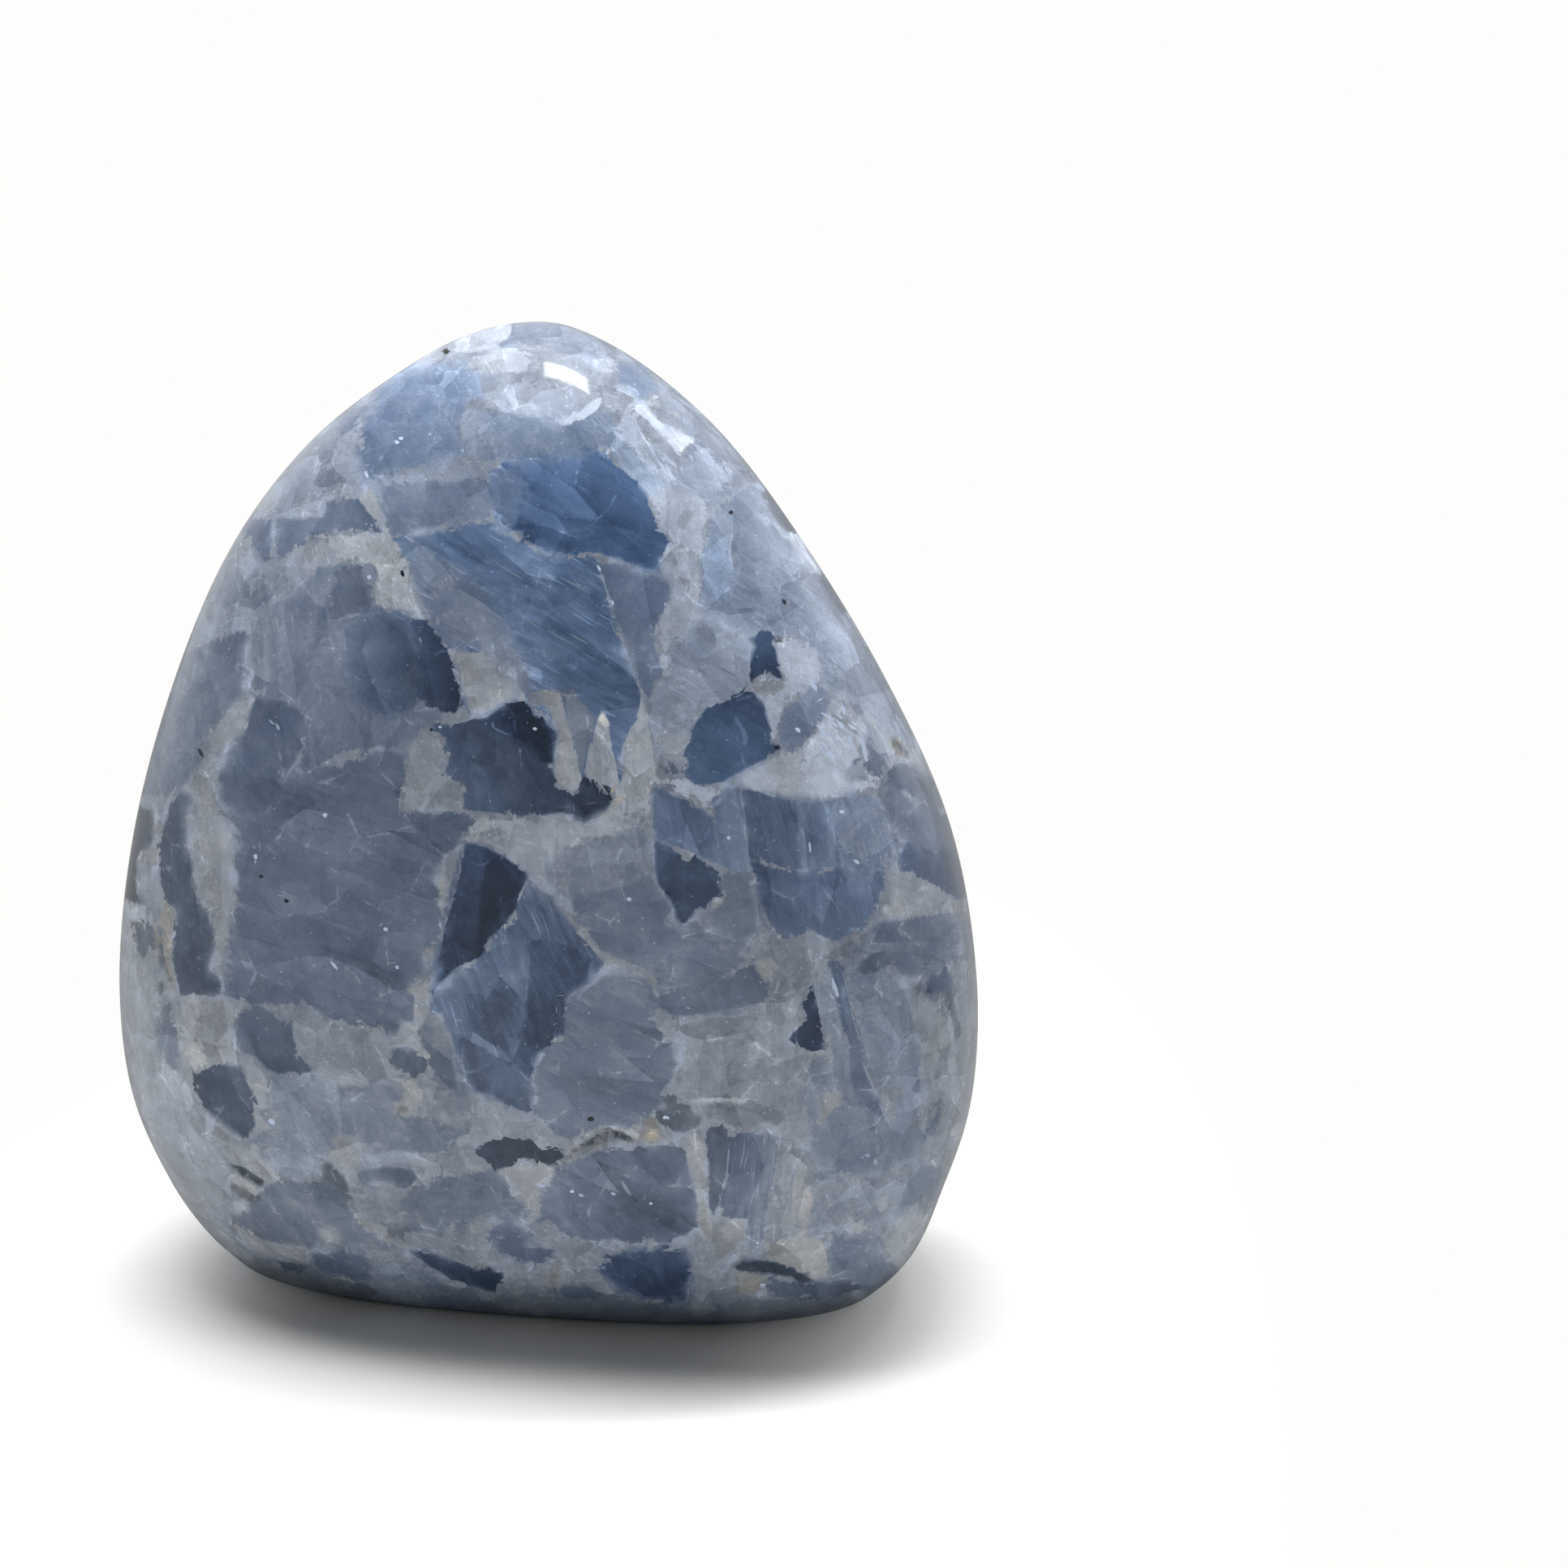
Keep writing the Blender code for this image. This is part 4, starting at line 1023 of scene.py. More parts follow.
# %% Push the open places in
def push_in(name, deep, bevel=5.0):
    """Sinks a crystal by so many mm. The bevel is the width of its sloping edge on the sheet."""
    index = next(n for n, piece in enumerate(drawn) if piece["name"] == name)
    share = np.clip(depths[index] / bevel + 0.2, 0, 1)
    for point in np.flatnonzero(share > 0):
        vert = stone.data.vertices[point]
        vert.co -= outward[point] * (share[point] ** 2 * (3 - 2 * share[point]) * deep * MM)
    print(name, "is", deep, "mm deep, points moved:", np.count_nonzero(share))


outward = [vert.normal.copy() for vert in stone.data.vertices]
push_in("gritty crevice", 0.45)
push_in("crevice dark", 0.5, bevel=3.0)
push_in("ochre grain", 0.3)
push_in("chip", 0.35)
push_in("chip crack", 0.6, bevel=3.0)
push_in("chip crack two", 0.6, bevel=3.0)
push_in("rim chip", 0.45)
push_in("brown crack", 0.4, bevel=3.0)
push_in("lens crack", 0.4, bevel=3.0)
push_in("bell speck", 0.4, bevel=2.0)

# %% [markdown]
# ## Layers
#
# Crystals that lie well apart can share one layer of numbers. Crystals that touch need layers of their own,
# and one that is drawn over another needs a higher layer. So each crystal takes the lowest layer that is
# above all it covers and free of neighbours.

# %% Sort the crystals into layers
# On the sheet: the room between two crystals that share a layer, and the overlap that puts one over another.
ROOM = 11.0
OVERLAP = 5

layers = []
layer_of = []
for index, piece in enumerate(drawn):
    touched = set()
    lowest = 0
    for other in range(index):
        shared = np.minimum(depths[index] + piece["soft"], depths[other] + drawn[other]["soft"]).max()
        if shared > OVERLAP + piece["soft"]:
            lowest = max(lowest, layer_of[other] + 1)
        if shared > -ROOM:
            touched.add(layer_of[other])
    layer = next(n for n in range(lowest, len(drawn)) if n not in touched)
    layer_of.append(layer)
    if layer == len(layers):
        layers.append([])
    layers[layer].append(index)
print("crystals in each layer:", [len(layer) for layer in layers])

# %% [markdown]
# ## Writing the drawing onto the stone
#
# Each layer goes onto the stone's points as three triples of numbers: the depth, the lightness and the
# blueness; the place across and along the cleavage lines, and their strength; and the raggedness, the seam
# and the softness of the edge.

# %% Write the layers
# Each crystal's cleavage pattern is moved on by this many mm, so that no two show the same stretch of it.
STAGGER = 7.3


def write_triples(name, values):
    stone.data.attributes.new(name, "FLOAT_VECTOR", "POINT").data.foreach_set("vector", values.ravel())


def write_numbers(name, values):
    stone.data.attributes.new(name, "FLOAT", "POINT").data.foreach_set("value", values)


lightness = np.zeros((len(drawn), count), dtype=np.float32)
across_lines = np.zeros((len(drawn), count, 2), dtype=np.float32)
for index, piece in enumerate(drawn):
    start, end, runs = piece["tones"]
    way = np.array([math.cos(math.radians(runs)), math.sin(math.radians(runs))])
    reach = piece["corners"] @ way
    share = np.clip((sheet @ way - reach.min()) / (reach.max() - reach.min()), 0, 1)
    lightness[index] = start + (end - start) * share
    lie = math.radians(piece["lines"][0])
    middle = sheet - piece["corners"].mean(axis=0)
    across_lines[index, :, 0] = middle @ (-math.sin(lie), math.cos(lie)) / POINTS_PER_MM
    across_lines[index, :, 1] = middle @ (math.cos(lie), math.sin(lie)) / POINTS_PER_MM + index * STAGGER

points = np.arange(count)
for number, layer in enumerate(layers):
    owner = np.array(layer)[depths[layer].argmax(axis=0)]
    pieces = [drawn[index] for index in owner]
    write_triples(f"place_{number}", np.stack([
        depths[owner, points],
        lightness[owner, points],
        [piece["blue"] for piece in pieces],
    ], axis=1))
    write_triples(f"lines_{number}", np.stack([
        across_lines[owner, points, 0],
        across_lines[owner, points, 1],
        [piece["lines"][1] for piece in pieces],
    ], axis=1))
    write_triples(f"edge_{number}", np.stack([
        [piece["ragged"] for piece in pieces],
        [piece["seam"] for piece in pieces],
        [piece["soft"] for piece in pieces],
    ], axis=1))
# The glint number tells how strongly a point shows painted glints, the bright flakes that catch the light.
glints = np.array([piece["glint"] for piece in drawn])
write_numbers("glint", ((depths > 0) * glints[:, None]).max(axis=0))
write_numbers("past_rim", past_rim)
print("layers written:", len(layers))

# %% [markdown]
# A mark is an oval, so its numbers are the place along it and across it, where 1 is its own end, and its
# lightness. Marks that lie close together need layers of their own too.

# %% Write the marks
MARK_ROOM = 14
FAR_OFF = 50.0

mark_layers = []
for x, y, length, width, lies, tone in marks:
    gap = length / 2 + MARK_ROOM
    home = next(
        (layer for layer in mark_layers
         if all(math.dist((x, y), other[:2]) > gap + other[2] / 2 for other in layer)),
        None,
    )
    if home is None:
        home = []
        mark_layers.append(home)
    home.append((x, y, length, width, lies, tone))

for number, layer in enumerate(mark_layers):
    values = np.full((count, 3), FAR_OFF)
    closest = np.full(count, np.inf)
    for x, y, length, width, lies, tone in layer:
        way = np.array([math.cos(math.radians(lies)), math.sin(math.radians(lies))])
        offset = sheet - (x, y)
        oval = np.stack([offset @ way / (length / 2), offset @ (-way[1], way[0]) / (width / 2)], axis=1)
        distance = np.linalg.norm(offset, axis=1) - length / 2
        nearer = (distance < closest) & (distance < MARK_ROOM) & (past_rim < 1)
        closest[nearer] = distance[nearer]
        values[nearer, :2] = oval[nearer]
        values[nearer, 2] = tone
    write_triples(f"mark_{number}", values)
print("mark layers:", [len(layer) for layer in mark_layers])

# %% [markdown]
# ## The crystal layers in the material
#
# One group of nodes puts one layer over what lies below it. It is used once for each layer. The depth is
# disturbed by small angular shards and grains first, since real grain boundaries are ragged. Then a step
# turns it into a mask. The step is narrow in some places and wide in others, so that an outline can be crisp
# here and lost in mist there. The first cell has the helpers that make and link nodes, and the sockets.

# %% Start the group for one layer
# The helpers work on the node tree at hand, `tree`, which each group and material sets anew.
def socket(name, way, kind="NodeSocketFloat", value=None):
    made = tree.interface.new_socket(name=name, in_out=way, socket_type=kind)
    if value is not None:
        made.default_value = value


def put(kind, inputs=(), **settings):
    """Adds a node. Its inputs are numbers, or sockets of other nodes to link."""
    made = tree.nodes.new(kind)
    for name, value in settings.items():
        setattr(made, name, value)
    for name, value in dict(inputs).items():
        if isinstance(value, bpy.types.NodeSocket):
            tree.links.new(value, made.inputs[name])
        else:
            made.inputs[name].default_value = value
    return made


def calculate(operation, *values):
    return put("ShaderNodeMath", enumerate(values), operation=operation).outputs[0]


def step(value, low, high, start=0.0, end=1.0):
    return put("ShaderNodeMapRange", {
        "Value": value, "From Min": low, "From Max": high, "To Min": start, "To Max": end,
    }, interpolation_type="SMOOTHSTEP").outputs["Result"]


def blend(share, below, above):
    return put("ShaderNodeMix", {0: share, 2: below, 3: above}, data_type="FLOAT").outputs[0]


tree = layer_group = bpy.data.node_groups.new("crystal layer", "ShaderNodeTree")
for name in ("Tone below", "Blue below", "Unevenness", "Patches", "Breaks"):
    socket(name, "INPUT")
for name in ("Lines below", "Place", "Lines", "Edge"):
    socket(name, "INPUT", "NodeSocketVector")
for name in ("Tone", "Blue"):
    socket(name, "OUTPUT")
socket("Lines", "OUTPUT", "NodeSocketVector")
print("sockets of a layer:", len(tree.interface.items_tree))

# %% [markdown]
# Inside, the mask lays the crystal's lightness, blueness and lines over what is below. A milky border
# lightens what lies just outside it, and here and there a fine pale crack follows its outline.

# %% Fill the group for one layer
# Lightness of the milky border and of the cracks, and the blueness of both.
BORDER_TONE = 0.70
CRACK_TONE = 0.68
BORDER_BLUE = 0.46
WIDEST_EDGE = 16.0

given = tree.nodes.new("NodeGroupInput").outputs
place = put("ShaderNodeSeparateXYZ", {0: given["Place"]}).outputs
edge = put("ShaderNodeSeparateXYZ", {0: given["Edge"]}).outputs
torn = calculate("MULTIPLY", edge[0], step(given["Patches"], 0.6, 0.44, 0.12, 1.5))
uneven = calculate("MULTIPLY_ADD", given["Unevenness"], torn, place[0])
width = step(given["Breaks"], 0.4, 0.65, 0.6, 2.6)
width = calculate("ADD", width, step(given["Patches"], 0.5, 0.66, 0.0, 6.0))
width = calculate("MINIMUM", calculate("MULTIPLY", edge[2], width), WIDEST_EDGE)
covers = step(uneven, calculate("MULTIPLY", width, -1.0), width)

# The milky border: brightest at the outline, and fading away outside it.
wide = calculate("ADD", uneven, -12.0)
wide = calculate("MULTIPLY_ADD", given["Breaks"], 24.0, wide)
border = calculate("POWER", step(wide, -22.0, 0.0), 2.0)
border = calculate("MULTIPLY", border, calculate("SUBTRACT", 1.0, covers))
border = calculate("MULTIPLY", border, calculate("ADD", edge[1], 0.12))
border = calculate("MULTIPLY", border, step(given["Patches"], 0.47, 0.60, 0.05, 1.3))
crack = step(calculate("ABSOLUTE", uneven), 0.2, 1.7, 1.0, 0.0)
crack = calculate("MULTIPLY", crack, step(given["Breaks"], 0.44, 0.56))
crack = calculate("MULTIPLY", crack, step(given["Patches"], 0.50, 0.62, 0.0, 0.45))

tone = blend(covers, given["Tone below"], place[1])
tone = blend(border, tone, BORDER_TONE)
tone = blend(crack, tone, CRACK_TONE)
blue = blend(covers, given["Blue below"], place[2])
blue = blend(calculate("MAXIMUM", border, crack), blue, BORDER_BLUE)
lines = put("ShaderNodeMix", data_type="VECTOR")
tree.links.new(calculate("GREATER_THAN", covers, 0.5), lines.inputs[0])
tree.links.new(given["Lines below"], lines.inputs[4])
tree.links.new(given["Lines"], lines.inputs[5])
result = tree.nodes.new("NodeGroupOutput").inputs
for name, value in (("Tone", tone), ("Blue", blue), ("Lines", lines.outputs[1])):
    tree.links.new(value, result[name])
print("nodes in one layer:", len(tree.nodes))

# %% [markdown]
# ## From tone to colour
#
# Calcite of this kind changes colour with depth: where it is clear it is dark and blue, where it is cloudy
# it is pale and grey. The numbers on the stone are the lightness as the eye reads it and a blueness, where
# less than nothing means ochre. This group turns them into a colour for the shader, which reckons in light
# and not in what the eye reads. Each channel starts near 1, blueness pulls it down or up, and the power turns
# what the eye reads into light.

# %% Make the colour group
# For red, green and blue: the start, and the pull of blueness.
CHANNELS = ((1.005, -0.23), (1.0, 0.035), (0.995, 0.46))
EYE_TO_LIGHT = 2.2
BRIGHTEST = 0.96

tree = colour_group = bpy.data.node_groups.new("calcite colour", "ShaderNodeTree")
socket("Tone", "INPUT")
socket("Blue", "INPUT")
socket("Light", "INPUT", value=1.1)
socket("Colour", "OUTPUT", "NodeSocketColor")
given = tree.nodes.new("NodeGroupInput").outputs
depth = calculate("MULTIPLY_ADD", given["Tone"], -0.95, 0.52)
depth = calculate("MAXIMUM", depth, -0.06)
blueness = calculate("MULTIPLY_ADD", given["Blue"], 0.55, 0.15)
blueness = calculate("ADD", blueness, depth)
channels = []
for start, pull in CHANNELS:
    channel = calculate("MULTIPLY_ADD", blueness, pull, start)
    channel = calculate("MULTIPLY", channel, given["Tone"])
    channel = calculate("POWER", calculate("MAXIMUM", channel, 0.02), EYE_TO_LIGHT)
    channel = calculate("DIVIDE", channel, given["Light"])
    channels.append(calculate("MINIMUM", channel, BRIGHTEST))
mixed = put("ShaderNodeCombineColor", dict(enumerate(channels)))
result = tree.nodes.new("NodeGroupOutput").inputs
tree.links.new(mixed.outputs[0], result["Colour"])
print("nodes in the colour group:", len(tree.nodes))

# %% [markdown]
# ## The material
#
# The material is built from the bottom up: a ground of grains, the drawn layers, the cleavage lines, the
# clouds, the marks, and last the polish. The function `shards` is used again and again: it shades each cell
# from one side to the other, and where two cells meet it leaves a crisp edge, as in broken glass. Blurred
# noise alone would look like cloth or concrete.

# %% Start the calcite
calcite = bpy.data.materials.new("calcite")
calcite.use_nodes = True
tree = calcite.node_tree
polish = tree.nodes["Principled BSDF"]
HALF = (0.5, 0.5, 0.5)


def attribute(name):
    return put("ShaderNodeAttribute", attribute_name=name)


def noise(vector, scale, detail=2.0, **settings):
    return put("ShaderNodeTexNoise", {"Vector": vector, "Scale": scale, "Detail": detail}, **settings)


def cells(vector, scale, feature="F1"):
    return put("ShaderNodeTexVoronoi", {"Vector": vector, "Scale": scale}, feature=feature)


def vectors(operation, first, second):
    made = put("ShaderNodeVectorMath", {0: first, 1: second}, operation=operation)
    return made.outputs["Value" if operation == "DOT_PRODUCT" else "Vector"]


def scaled(vector, size):
    return put("ShaderNodeVectorMath", {0: vector, 3: size}, operation="SCALE").outputs["Vector"]


def channels_of(colour):
    return put("ShaderNodeSeparateColor", {0: colour}).outputs


def parts_of(vector):
    return put("ShaderNodeSeparateXYZ", {0: vector}).outputs


def centred(value, strength):
    """Turns a number from 0 to 1 into one around 0."""
    return calculate("MULTIPLY", calculate("SUBTRACT", value, 0.5), strength)


def add(*values):
    total = values[0]
    for value in values[1:]:
        total = calculate("ADD", total, value)
    return total


def shards(vector, scale, strength):
    """Cells that shade from one side to the other, so that they meet in crisp edges that fade away."""
    found = cells(vector, scale).outputs
    from_middle = vectors("SUBTRACT", vector, found["Position"])
    way = vectors("SUBTRACT", found["Color"], HALF)
    ramp = vectors("DOT_PRODUCT", from_middle, way)
    return calculate("MULTIPLY", ramp, 2.0 * scale * strength)


print("nodes at the start:", len(tree.nodes))

# %% [markdown]
# ## What makes edges uneven
#
# Nothing in a grown stone is quite straight. So the space that the patterns are laid in is bent by up to a
# few millimetres, and one number, the unevenness, is made of shards, grit and crumbs of several sizes.
# Whatever has an edge adds it to its own distance.

# %% Bend the space and make the unevenness
where = put("ShaderNodeTexCoord").outputs["Object"]
in_mm = scaled(where, 1 / MM)
bend = scaled(vectors("SUBTRACT", noise(in_mm, 0.09, 2.0).outputs["Color"], HALF), 5.0)
bent = vectors("ADD", in_mm, bend)

grit = channels_of(cells(in_mm, 1.1).outputs["Color"])
crumbs = channels_of(cells(in_mm, 2.9).outputs["Color"])
wobble = noise(in_mm, 0.45, 3.0).outputs["Fac"]
haze = noise(bent, 0.2, 2.0).outputs["Fac"]
unevenness = add(
    shards(in_mm, 0.4, 1.6),
    shards(in_mm, 1.0, 1.2),
    centred(grit[0], 0.8),
    centred(crumbs[0], 0.5),
    centred(wobble, 1.6),
)
print("nodes with the unevenness:", len(tree.nodes))

# %% [markdown]
# ## The ground of grains
#
# Under all drawn crystals lies a ground of grains, made with Voronoi cells: they have the straight edges and
# sharp corners of grown crystals. Drawing the back too would take as long as the front, and the ground covers
# it, the foot and every gap. Towards the front it calms down to a plain grey blue.

# %% Lay the ground of grains
# Cells in a millimetre, so the grains are about 13 mm across and their facets about 4 mm.
GRAINS = 0.075
FACETS = 0.24

grain = channels_of(cells(bent, GRAINS).outputs["Color"])
facet = channels_of(cells(bent, FACETS).outputs["Color"])
grain_gap = calculate("MULTIPLY", cells(bent, GRAINS, "DISTANCE_TO_EDGE").outputs["Distance"], 140.0)
grain_gap = calculate("MULTIPLY_ADD", unevenness, 3.0, grain_gap)

tone = add(calculate("MULTIPLY_ADD", grain[0], 0.24, 0.37), centred(facet[0], 0.1))
blue = calculate("MULTIPLY_ADD", grain[0], -0.45, 0.62)
blue = add(blue, centred(grain[1], 0.25), centred(facet[1], 0.1))
past = calculate("MULTIPLY_ADD", unevenness, 14.0, attribute("past_rim").outputs["Fac"])
drawn_on = step(past, 20.0, 60.0)
tone = blend(drawn_on, 0.56, tone)
blue = blend(drawn_on, 0.3, blue)
seam = calculate("MULTIPLY", step(grain_gap, 0.0, 9.0, 1.0, 0.0), step(wobble, 0.42, 0.6))
tone = blend(seam, tone, 0.62)
blue = blend(seam, blue, 0.2)
lines = put("ShaderNodeCombineXYZ", {2: 0.3})
bent_parts = parts_of(bent)
tree.links.new(add(bent_parts[0], bent_parts[1], calculate("MULTIPLY", grain[2], 40.0)), lines.inputs[0])
tree.links.new(bent_parts[2], lines.inputs[1])
lines = lines.outputs[0]
print("nodes with the ground:", len(tree.nodes))

# %% [markdown]
# Each drawn layer now goes over the ground, or over the layers below it, through the group made above. The
# lightness, the blueness and the cleavage lines pass from one group to the next.

# %% Lay the drawn crystals over the ground
for number in range(len(layers)):
    layer = put("ShaderNodeGroup", node_tree=layer_group)
    for name, value in (
        ("Tone below", tone), ("Blue below", blue), ("Lines below", lines), ("Unevenness", unevenness),
        ("Patches", haze), ("Breaks", wobble), ("Place", attribute(f"place_{number}").outputs["Vector"]),
        ("Lines", attribute(f"lines_{number}").outputs["Vector"]),
        ("Edge", attribute(f"edge_{number}").outputs["Vector"]),
    ):
        tree.links.new(value, layer.inputs[name])
    tone, blue, lines = (layer.outputs[name] for name in ("Tone", "Blue", "Lines"))
print("nodes with the crystals:", len(tree.nodes))

# %% [markdown]
# ## Cleavage
#
# Calcite splits along flat planes, and the polish cuts through them: long shards along the lines of each
# crystal, feathery streaks, and bright fibres between them. They are patterns that are squeezed across the
# lines, so a crystal's own way of lying turns them.

# %% Add the cleavage
strength = parts_of(lines)[2]
across = vectors("MULTIPLY", lines, (1.0, 1.0, 0.0))
across = vectors("ADD", across, scaled(bend, 0.35))


def squeezed(x, y):
    return vectors("MULTIPLY", across, (x, y, 0.0))


feathers = noise(squeezed(1.3, 0.28), 1.0, 4.0).outputs["Fac"]
cleaved = add(
    shards(squeezed(0.24, 0.07), 1.0, 0.10),
    shards(squeezed(0.75, 0.16), 1.0, 0.045),
    calculate("MULTIPLY", centred(feathers, 0.22), step(strength, 0.3, 0.9, 0.2, 0.8)),
)
fibres = step(noise(squeezed(4.2, 0.16), 1.0, 1.0).outputs["Fac"], 0.62, 0.74)
fibres = calculate("MULTIPLY", fibres, step(noise(in_mm, 0.22, 1.0).outputs["Fac"], 0.42, 0.6))
fibres = calculate("MULTIPLY", fibres, step(strength, 0.3, 1.0, 0.03, 0.22))
cleaved = add(calculate("MULTIPLY", cleaved, calculate("MULTIPLY_ADD", strength, 0.7, 0.4)), fibres)
print("nodes with the cleavage:", len(tree.nodes))

# %% [markdown]
# ## Clouds
#
# The real clouds lie at all depths, and a see-through solid with clouds inside would be truer, but noisy and
# slow. Here a veil lightens what is dark, and clouds, mist and broad shards shade the rest. Pale parts are
# shaded more, dark windows less.

# %% Add the clouds
cloud = noise(in_mm, 0.10, 4.0).outputs["Fac"]
mist = noise(bent, 0.42, 5.0).outputs["Fac"]
veil = step(noise(bent, 0.085, 3.0).outputs["Fac"], 0.48, 0.72, 0.0, 0.38)
veil = calculate("MULTIPLY", veil, step(tone, 0.24, 0.42))
tone = calculate("MAXIMUM", tone, blend(veil, tone, 0.60))
tone = calculate("MULTIPLY_ADD", tone, 1.3, -0.09)
paleness = step(tone, 0.46, 0.66, 0.5, 1.3)
soft_parts = add(cleaved, centred(cloud, 0.19), centred(mist, 0.14))
shaded = calculate("MULTIPLY", add(shards(bent, 0.26, 0.055), shards(bent, 0.13, 0.06)), paleness)
strength = calculate("MULTIPLY_ADD", step(tone, 0.1, 0.45), 0.7, 0.3)
tone = calculate("MULTIPLY_ADD", add(soft_parts, shaded), strength, tone)
blue = add(blue, centred(mist, -0.25))
print("nodes with the clouds:", len(tree.nodes))

# %% [markdown]
# ## Fractures, crumbs and flakes
#
# Three small things make the stone look hard. Healed fractures are thin pale lines along the edges of large
# cells. Crumbs, like sugar, are crisp in the pale seams, with milky specks everywhere. Flakes are thin bright
# slivers in the glinting crystals: painted glints, where cleavage flakes catch the light.

# %% Add the fractures, the crumbs and the flakes
PAINTED_GLINT_TONE = 0.93

broken = calculate("MULTIPLY", cells(bent, 0.13, "DISTANCE_TO_EDGE").outputs["Distance"], 80.0)
broken = step(calculate("MULTIPLY_ADD", unevenness, 0.9, broken), 0.0, 1.5, 1.0, 0.0)
broken = calculate("MULTIPLY", broken, step(mist, 0.52, 0.62))
tone = add(tone, calculate("MULTIPLY", broken, 0.12))

sugary = calculate("MULTIPLY", paleness, step(mist, 0.4, 0.58, 0.6, 1.4))
crumbled = add(shards(in_mm, 0.95, 0.03), shards(in_mm, 2.4, 0.03))
powder = centred(noise(in_mm, 6.5, 1.0).outputs["Fac"], 0.09)
tone = add(tone, calculate("MULTIPLY", crumbled, sugary), powder)
specks = cells(in_mm, 1.5).outputs
speck = step(specks["Distance"], 0.06, 0.30, 1.0, 0.0)
speck_size = channels_of(specks["Color"])
speck = calculate("MULTIPLY", speck, step(speck_size[0], 0.86, 1.0, 0.0, 0.22))
tone = add(tone, speck)

# The flakes are painted glints: bright slivers laid into the colour where the glint number allows.
flakes = channels_of(cells(squeezed(4.6, 1.1), 1.0).outputs["Color"])
flake_limit = calculate("SUBTRACT", 1.0, attribute("glint").outputs["Fac"])
flake = calculate("GREATER_THAN", flakes[0], flake_limit)
flake = calculate("MULTIPLY", flake, step(haze, 0.4, 0.6))
flake = calculate("MULTIPLY", flake, calculate("MULTIPLY_ADD", flakes[1], 0.8, 0.1))
tone = blend(flake, tone, PAINTED_GLINT_TONE)
print("nodes with the flakes:", len(tree.nodes))

# %% [markdown]
# ## Marks and polish
#
# The marks lie over everything. Then lightness and blueness become the colour. The polish is a clear coat
# over a duller stone, which gives soft reflections with a sharp one on top. Where the stone is grainy and
# pale, it is a little duller, and a fine bump pits it all over.

# %% Add the marks and the polish
MARK_BLUE = 0.45

for number in range(len(mark_layers)):
    values = parts_of(attribute(f"mark_{number}").outputs["Vector"])
    along = calculate("MULTIPLY", values[0], values[0])
    out = calculate("MULTIPLY_ADD", values[1], values[1], along)
    out = calculate("SQRT", out)
    out = calculate("MULTIPLY_ADD", unevenness, 0.3, out)
    on_mark = step(out, 0.7, 1.0, 1.0, 0.0)
    tone = blend(on_mark, tone, values[2])
    blue = blend(on_mark, blue, MARK_BLUE)

colour = put("ShaderNodeGroup", {"Tone": tone, "Blue": blue}, node_tree=colour_group)
tree.links.new(colour.outputs["Colour"], polish.inputs["Base Color"])

dull = calculate("MULTIPLY", step(tone, 0.55, 0.75), step(mist, 0.4, 0.6))
tree.links.new(calculate("MULTIPLY_ADD", dull, -0.35, 1.0), polish.inputs["Coat Weight"])
tree.links.new(calculate("MULTIPLY_ADD", dull, 0.2, 0.3), polish.inputs["Roughness"])
pits = noise(in_mm, 1.7, 2.0).outputs["Fac"]
pitted = put("ShaderNodeBump", {"Height": pits, "Strength": 0.12, "Distance": 0.0002})
tree.links.new(pitted.outputs["Normal"], polish.inputs["Normal"])
polish.inputs["Specular IOR Level"].default_value = 0.3
polish.inputs["Coat Roughness"].default_value = 0.08
polish.inputs["Coat IOR"].default_value = 1.5
stone.data.materials.clear()
stone.data.materials.append(calcite)
print("nodes in the calcite:", len(tree.nodes))

# %% [markdown]
# ## The light and the floor
#
# The stone stands on white, with no edge or corner in sight. A white plate would do for the floor, but the
# camera would see where it ends. So away from the stone the floor turns into a white sweep that glows,
# painted light with no lamp behind it, which also lightens the shadow beside the stone's sides. In mirror
# images it is dimmer than it looks directly, which keeps the clear crystals deep and blue.

# %% Make the floor
SWEEP_WHITE = (0.985, 0.985, 0.97, 1)

bpy.ops.object.select_all(action="DESELECT")
bpy.ops.mesh.primitive_circle_add(vertices=96, radius=6.0, fill_type="NGON", location=(0, 0, 0))
floor = bpy.context.object
floor.name = "floor"
white = bpy.data.materials.new("white_floor")
white.use_nodes = True
tree = white.node_tree
paint = tree.nodes["Principled BSDF"]
paint.inputs["Base Color"].default_value = (0.95, 0.945, 0.92, 1)
paint.inputs["Roughness"].default_value = 0.9
paint.inputs["Specular IOR Level"].default_value = 0.1
# The part in plain paint reaches further to the front and the back than to the sides. Beyond it the floor
# glows instead, which is painted light: close by the stone's sides the glow begins early and lightens the
# shadow there.
place = vectors("MULTIPLY", put("ShaderNodeTexCoord").outputs["Object"], (2.2, 0.9, 1.0))
off = put("ShaderNodeVectorMath", {0: place}, operation="LENGTH").outputs["Value"]
glow = put("ShaderNodeEmission", {"Color": SWEEP_WHITE, "Strength": 1.0})
turns = step(off, 0.05, 0.22)
sweep = put("ShaderNodeMixShader", {0: turns, 1: paint.outputs[0], 2: glow.outputs[0]})
mirrored = calculate("MULTIPLY", put("ShaderNodeLightPath").outputs["Is Glossy Ray"], 0.7)
dim = put("ShaderNodeEmission", {"Strength": 0.0})
dimmed = put("ShaderNodeMixShader", {0: mirrored, 1: sweep.outputs[0], 2: dim.outputs[0]})
tree.links.new(dimmed.outputs[0], tree.nodes["Material Output"].inputs["Surface"])
floor.data.materials.append(white)
print("floor, m across:", round(floor.dimensions.x, 1))

# %% [markdown]
# Four soft panels hang nearly overhead. Three of them light the stone and the floor: their lengths and powers
# set how the shadow fades, and they are kept out of mirror images. The fourth, the small panel, is there for
# its mirror image alone, the white bar near the tip.

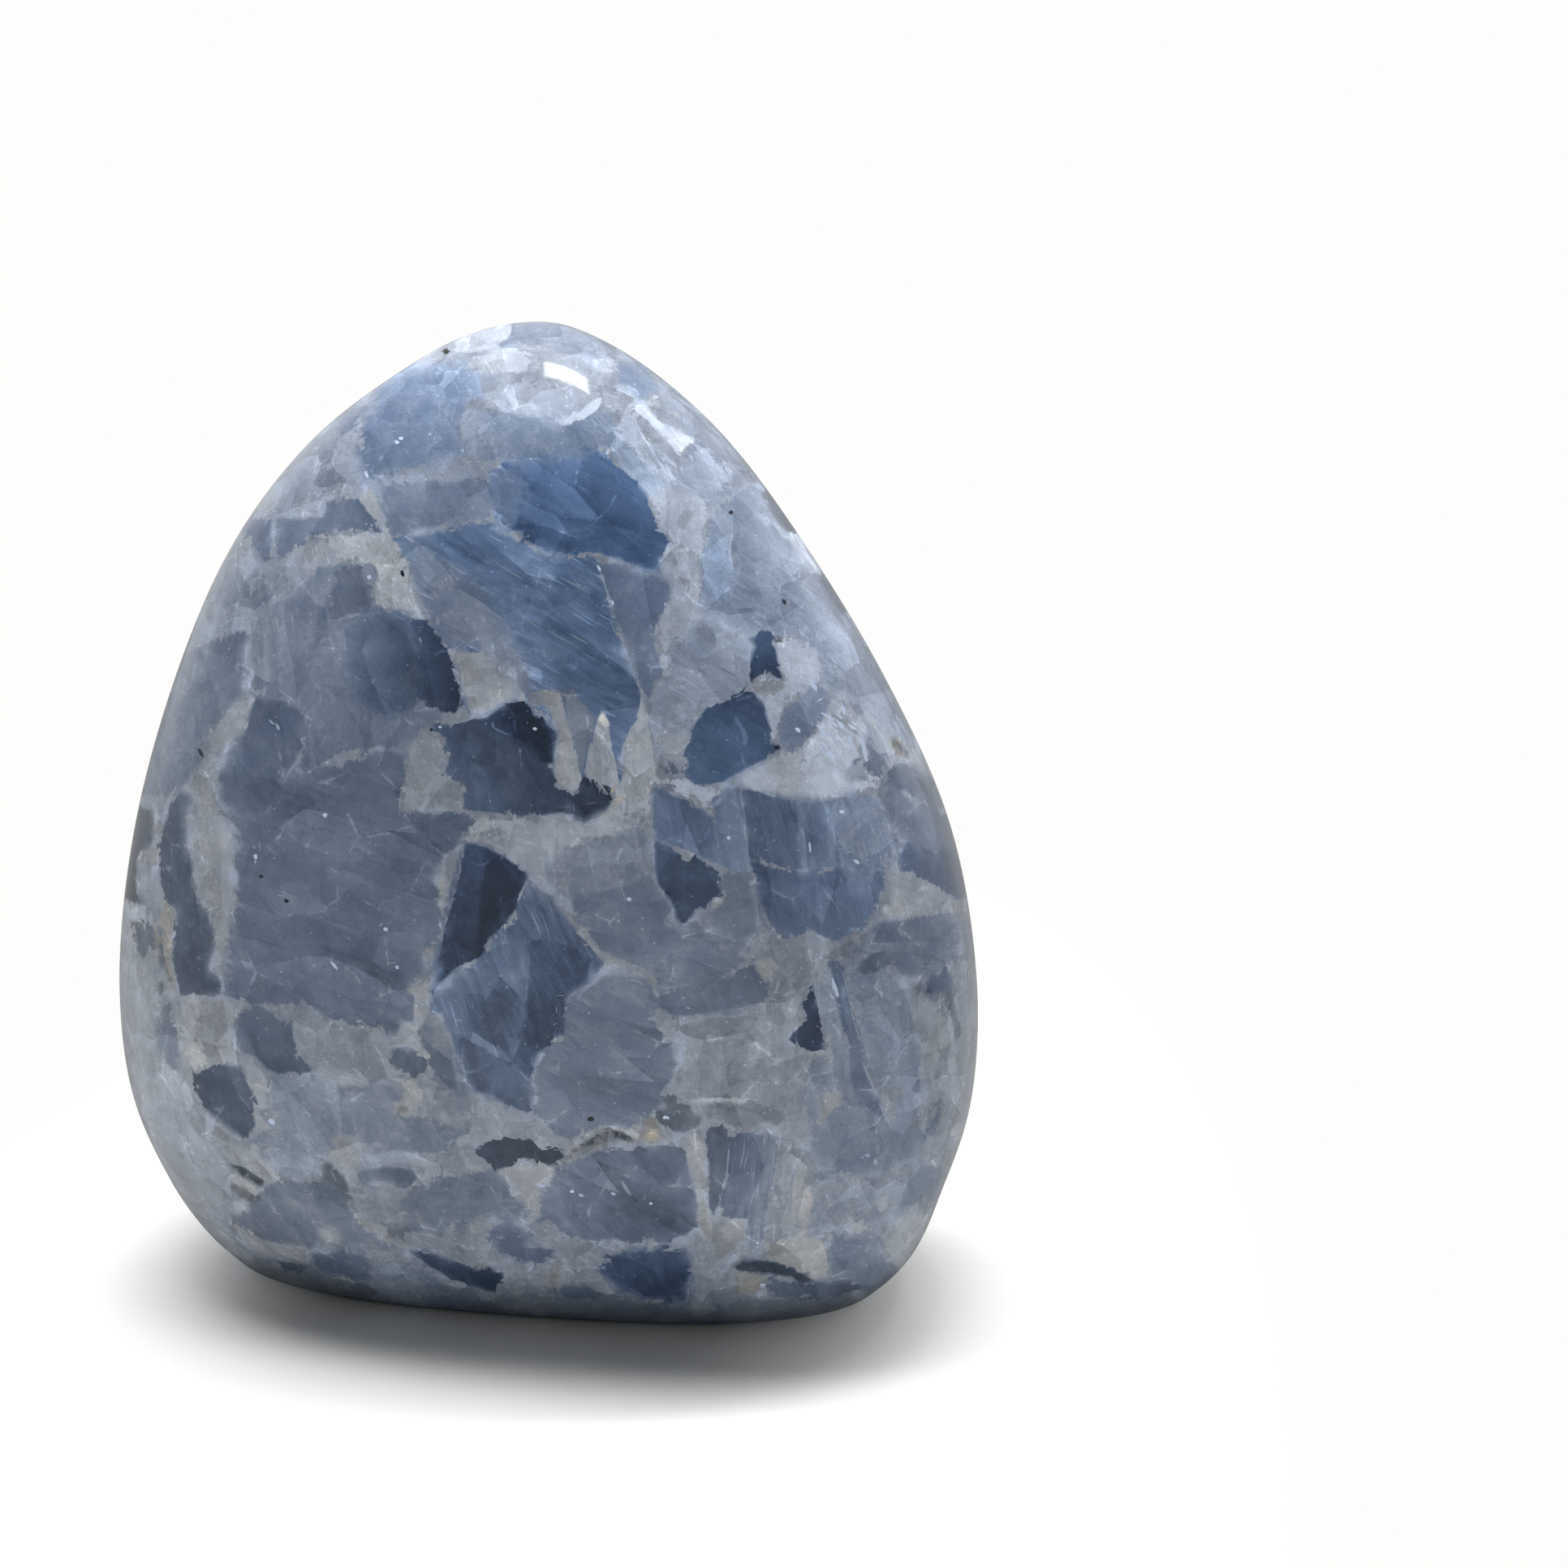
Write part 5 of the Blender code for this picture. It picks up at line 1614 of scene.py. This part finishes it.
# %% Hang the panels
# How far the panels hang from the tip, and how deep they are, in metres.
PANEL_AWAY = 0.6
PANEL_DEEP = 0.09
TIP = Vector((0.006, -0.009, 0.115))


def hang_panel(name, aside, leans, across, power):
    """Hangs a panel over the tip, facing it. Below 0, it is aside to the left and leans to the viewer."""
    way = Vector((aside, leans, 0.985)).normalized()
    bpy.ops.object.light_add(type="AREA", location=TIP + way * PANEL_AWAY)
    panel = bpy.context.object
    panel.name = name
    panel.rotation_euler = way.to_track_quat("Z", "Y").to_euler()
    panel.data.shape = "RECTANGLE"
    panel.data.size = across
    panel.data.size_y = PANEL_DEEP
    panel.data.energy = power
    return panel


hang_panel("small_panel", 0.0, -0.12, 0.17, 0.75).visible_diffuse = False
hang_panel("long_panel", -0.05, 0.21, 0.80, 4.3).visible_glossy = False
hang_panel("middle_panel", -0.05, 0.085, 0.45, 3.05).visible_glossy = False
hang_panel("near_panel", 0.0, 0.02, 0.15, 0.6).visible_glossy = False

# %% [markdown]
# The room has three sets of walls, one for each kind of ray. Seen directly they are as white as the floor. Of
# those that light the stone, only the one low behind it is bright. Those in mirror images are grey, with a
# darker stretch behind the stone, and darker still on the viewer's side.

# %% Paint the room
world = bpy.data.worlds.new("room")
bpy.context.scene.world = world
world.use_nodes = True
tree = world.node_tree
tree.nodes.clear()
way = parts_of(put("ShaderNodeTexCoord").outputs["Generated"])
towards_viewer = step(way[1], 0.3, -0.6)
overhead = step(way[2], 0.2, 0.6)
dim_stretch = step(way[0], 0.42, 0.5, 1.0, 0.0)
dim_stretch = calculate("MULTIPLY", step(way[0], -0.25, -0.05), dim_stretch)
behind = blend(dim_stretch, 0.5, 0.25)
strength = blend(towards_viewer, behind, 0.2)
strength = blend(overhead, strength, blend(towards_viewer, 0.45, 0.1))
low_behind = calculate("MULTIPLY", step(way[1], 0.5, 0.8), step(way[2], 0.5, 0.3, 0.0, 1.0))
lit = blend(low_behind, blend(overhead, 0.05, 0.15), 3.5)
rays = put("ShaderNodeLightPath").outputs
strength = blend(rays["Is Glossy Ray"], lit, strength)
room = put("ShaderNodeBackground", {"Color": (1.0, 1.0, 1.0, 1), "Strength": strength})
seen = put("ShaderNodeBackground", {"Color": SWEEP_WHITE, "Strength": 1.0})
both = put("ShaderNodeMixShader", {0: rays["Is Camera Ray"], 1: room.outputs[0], 2: seen.outputs[0]})
put("ShaderNodeOutputWorld", {"Surface": both.outputs[0]})
bpy.context.scene.view_settings.view_transform = "Standard"
print("nodes in the room:", len(tree.nodes))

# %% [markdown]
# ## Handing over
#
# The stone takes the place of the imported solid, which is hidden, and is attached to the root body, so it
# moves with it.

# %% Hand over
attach(stone, "root")
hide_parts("stone")
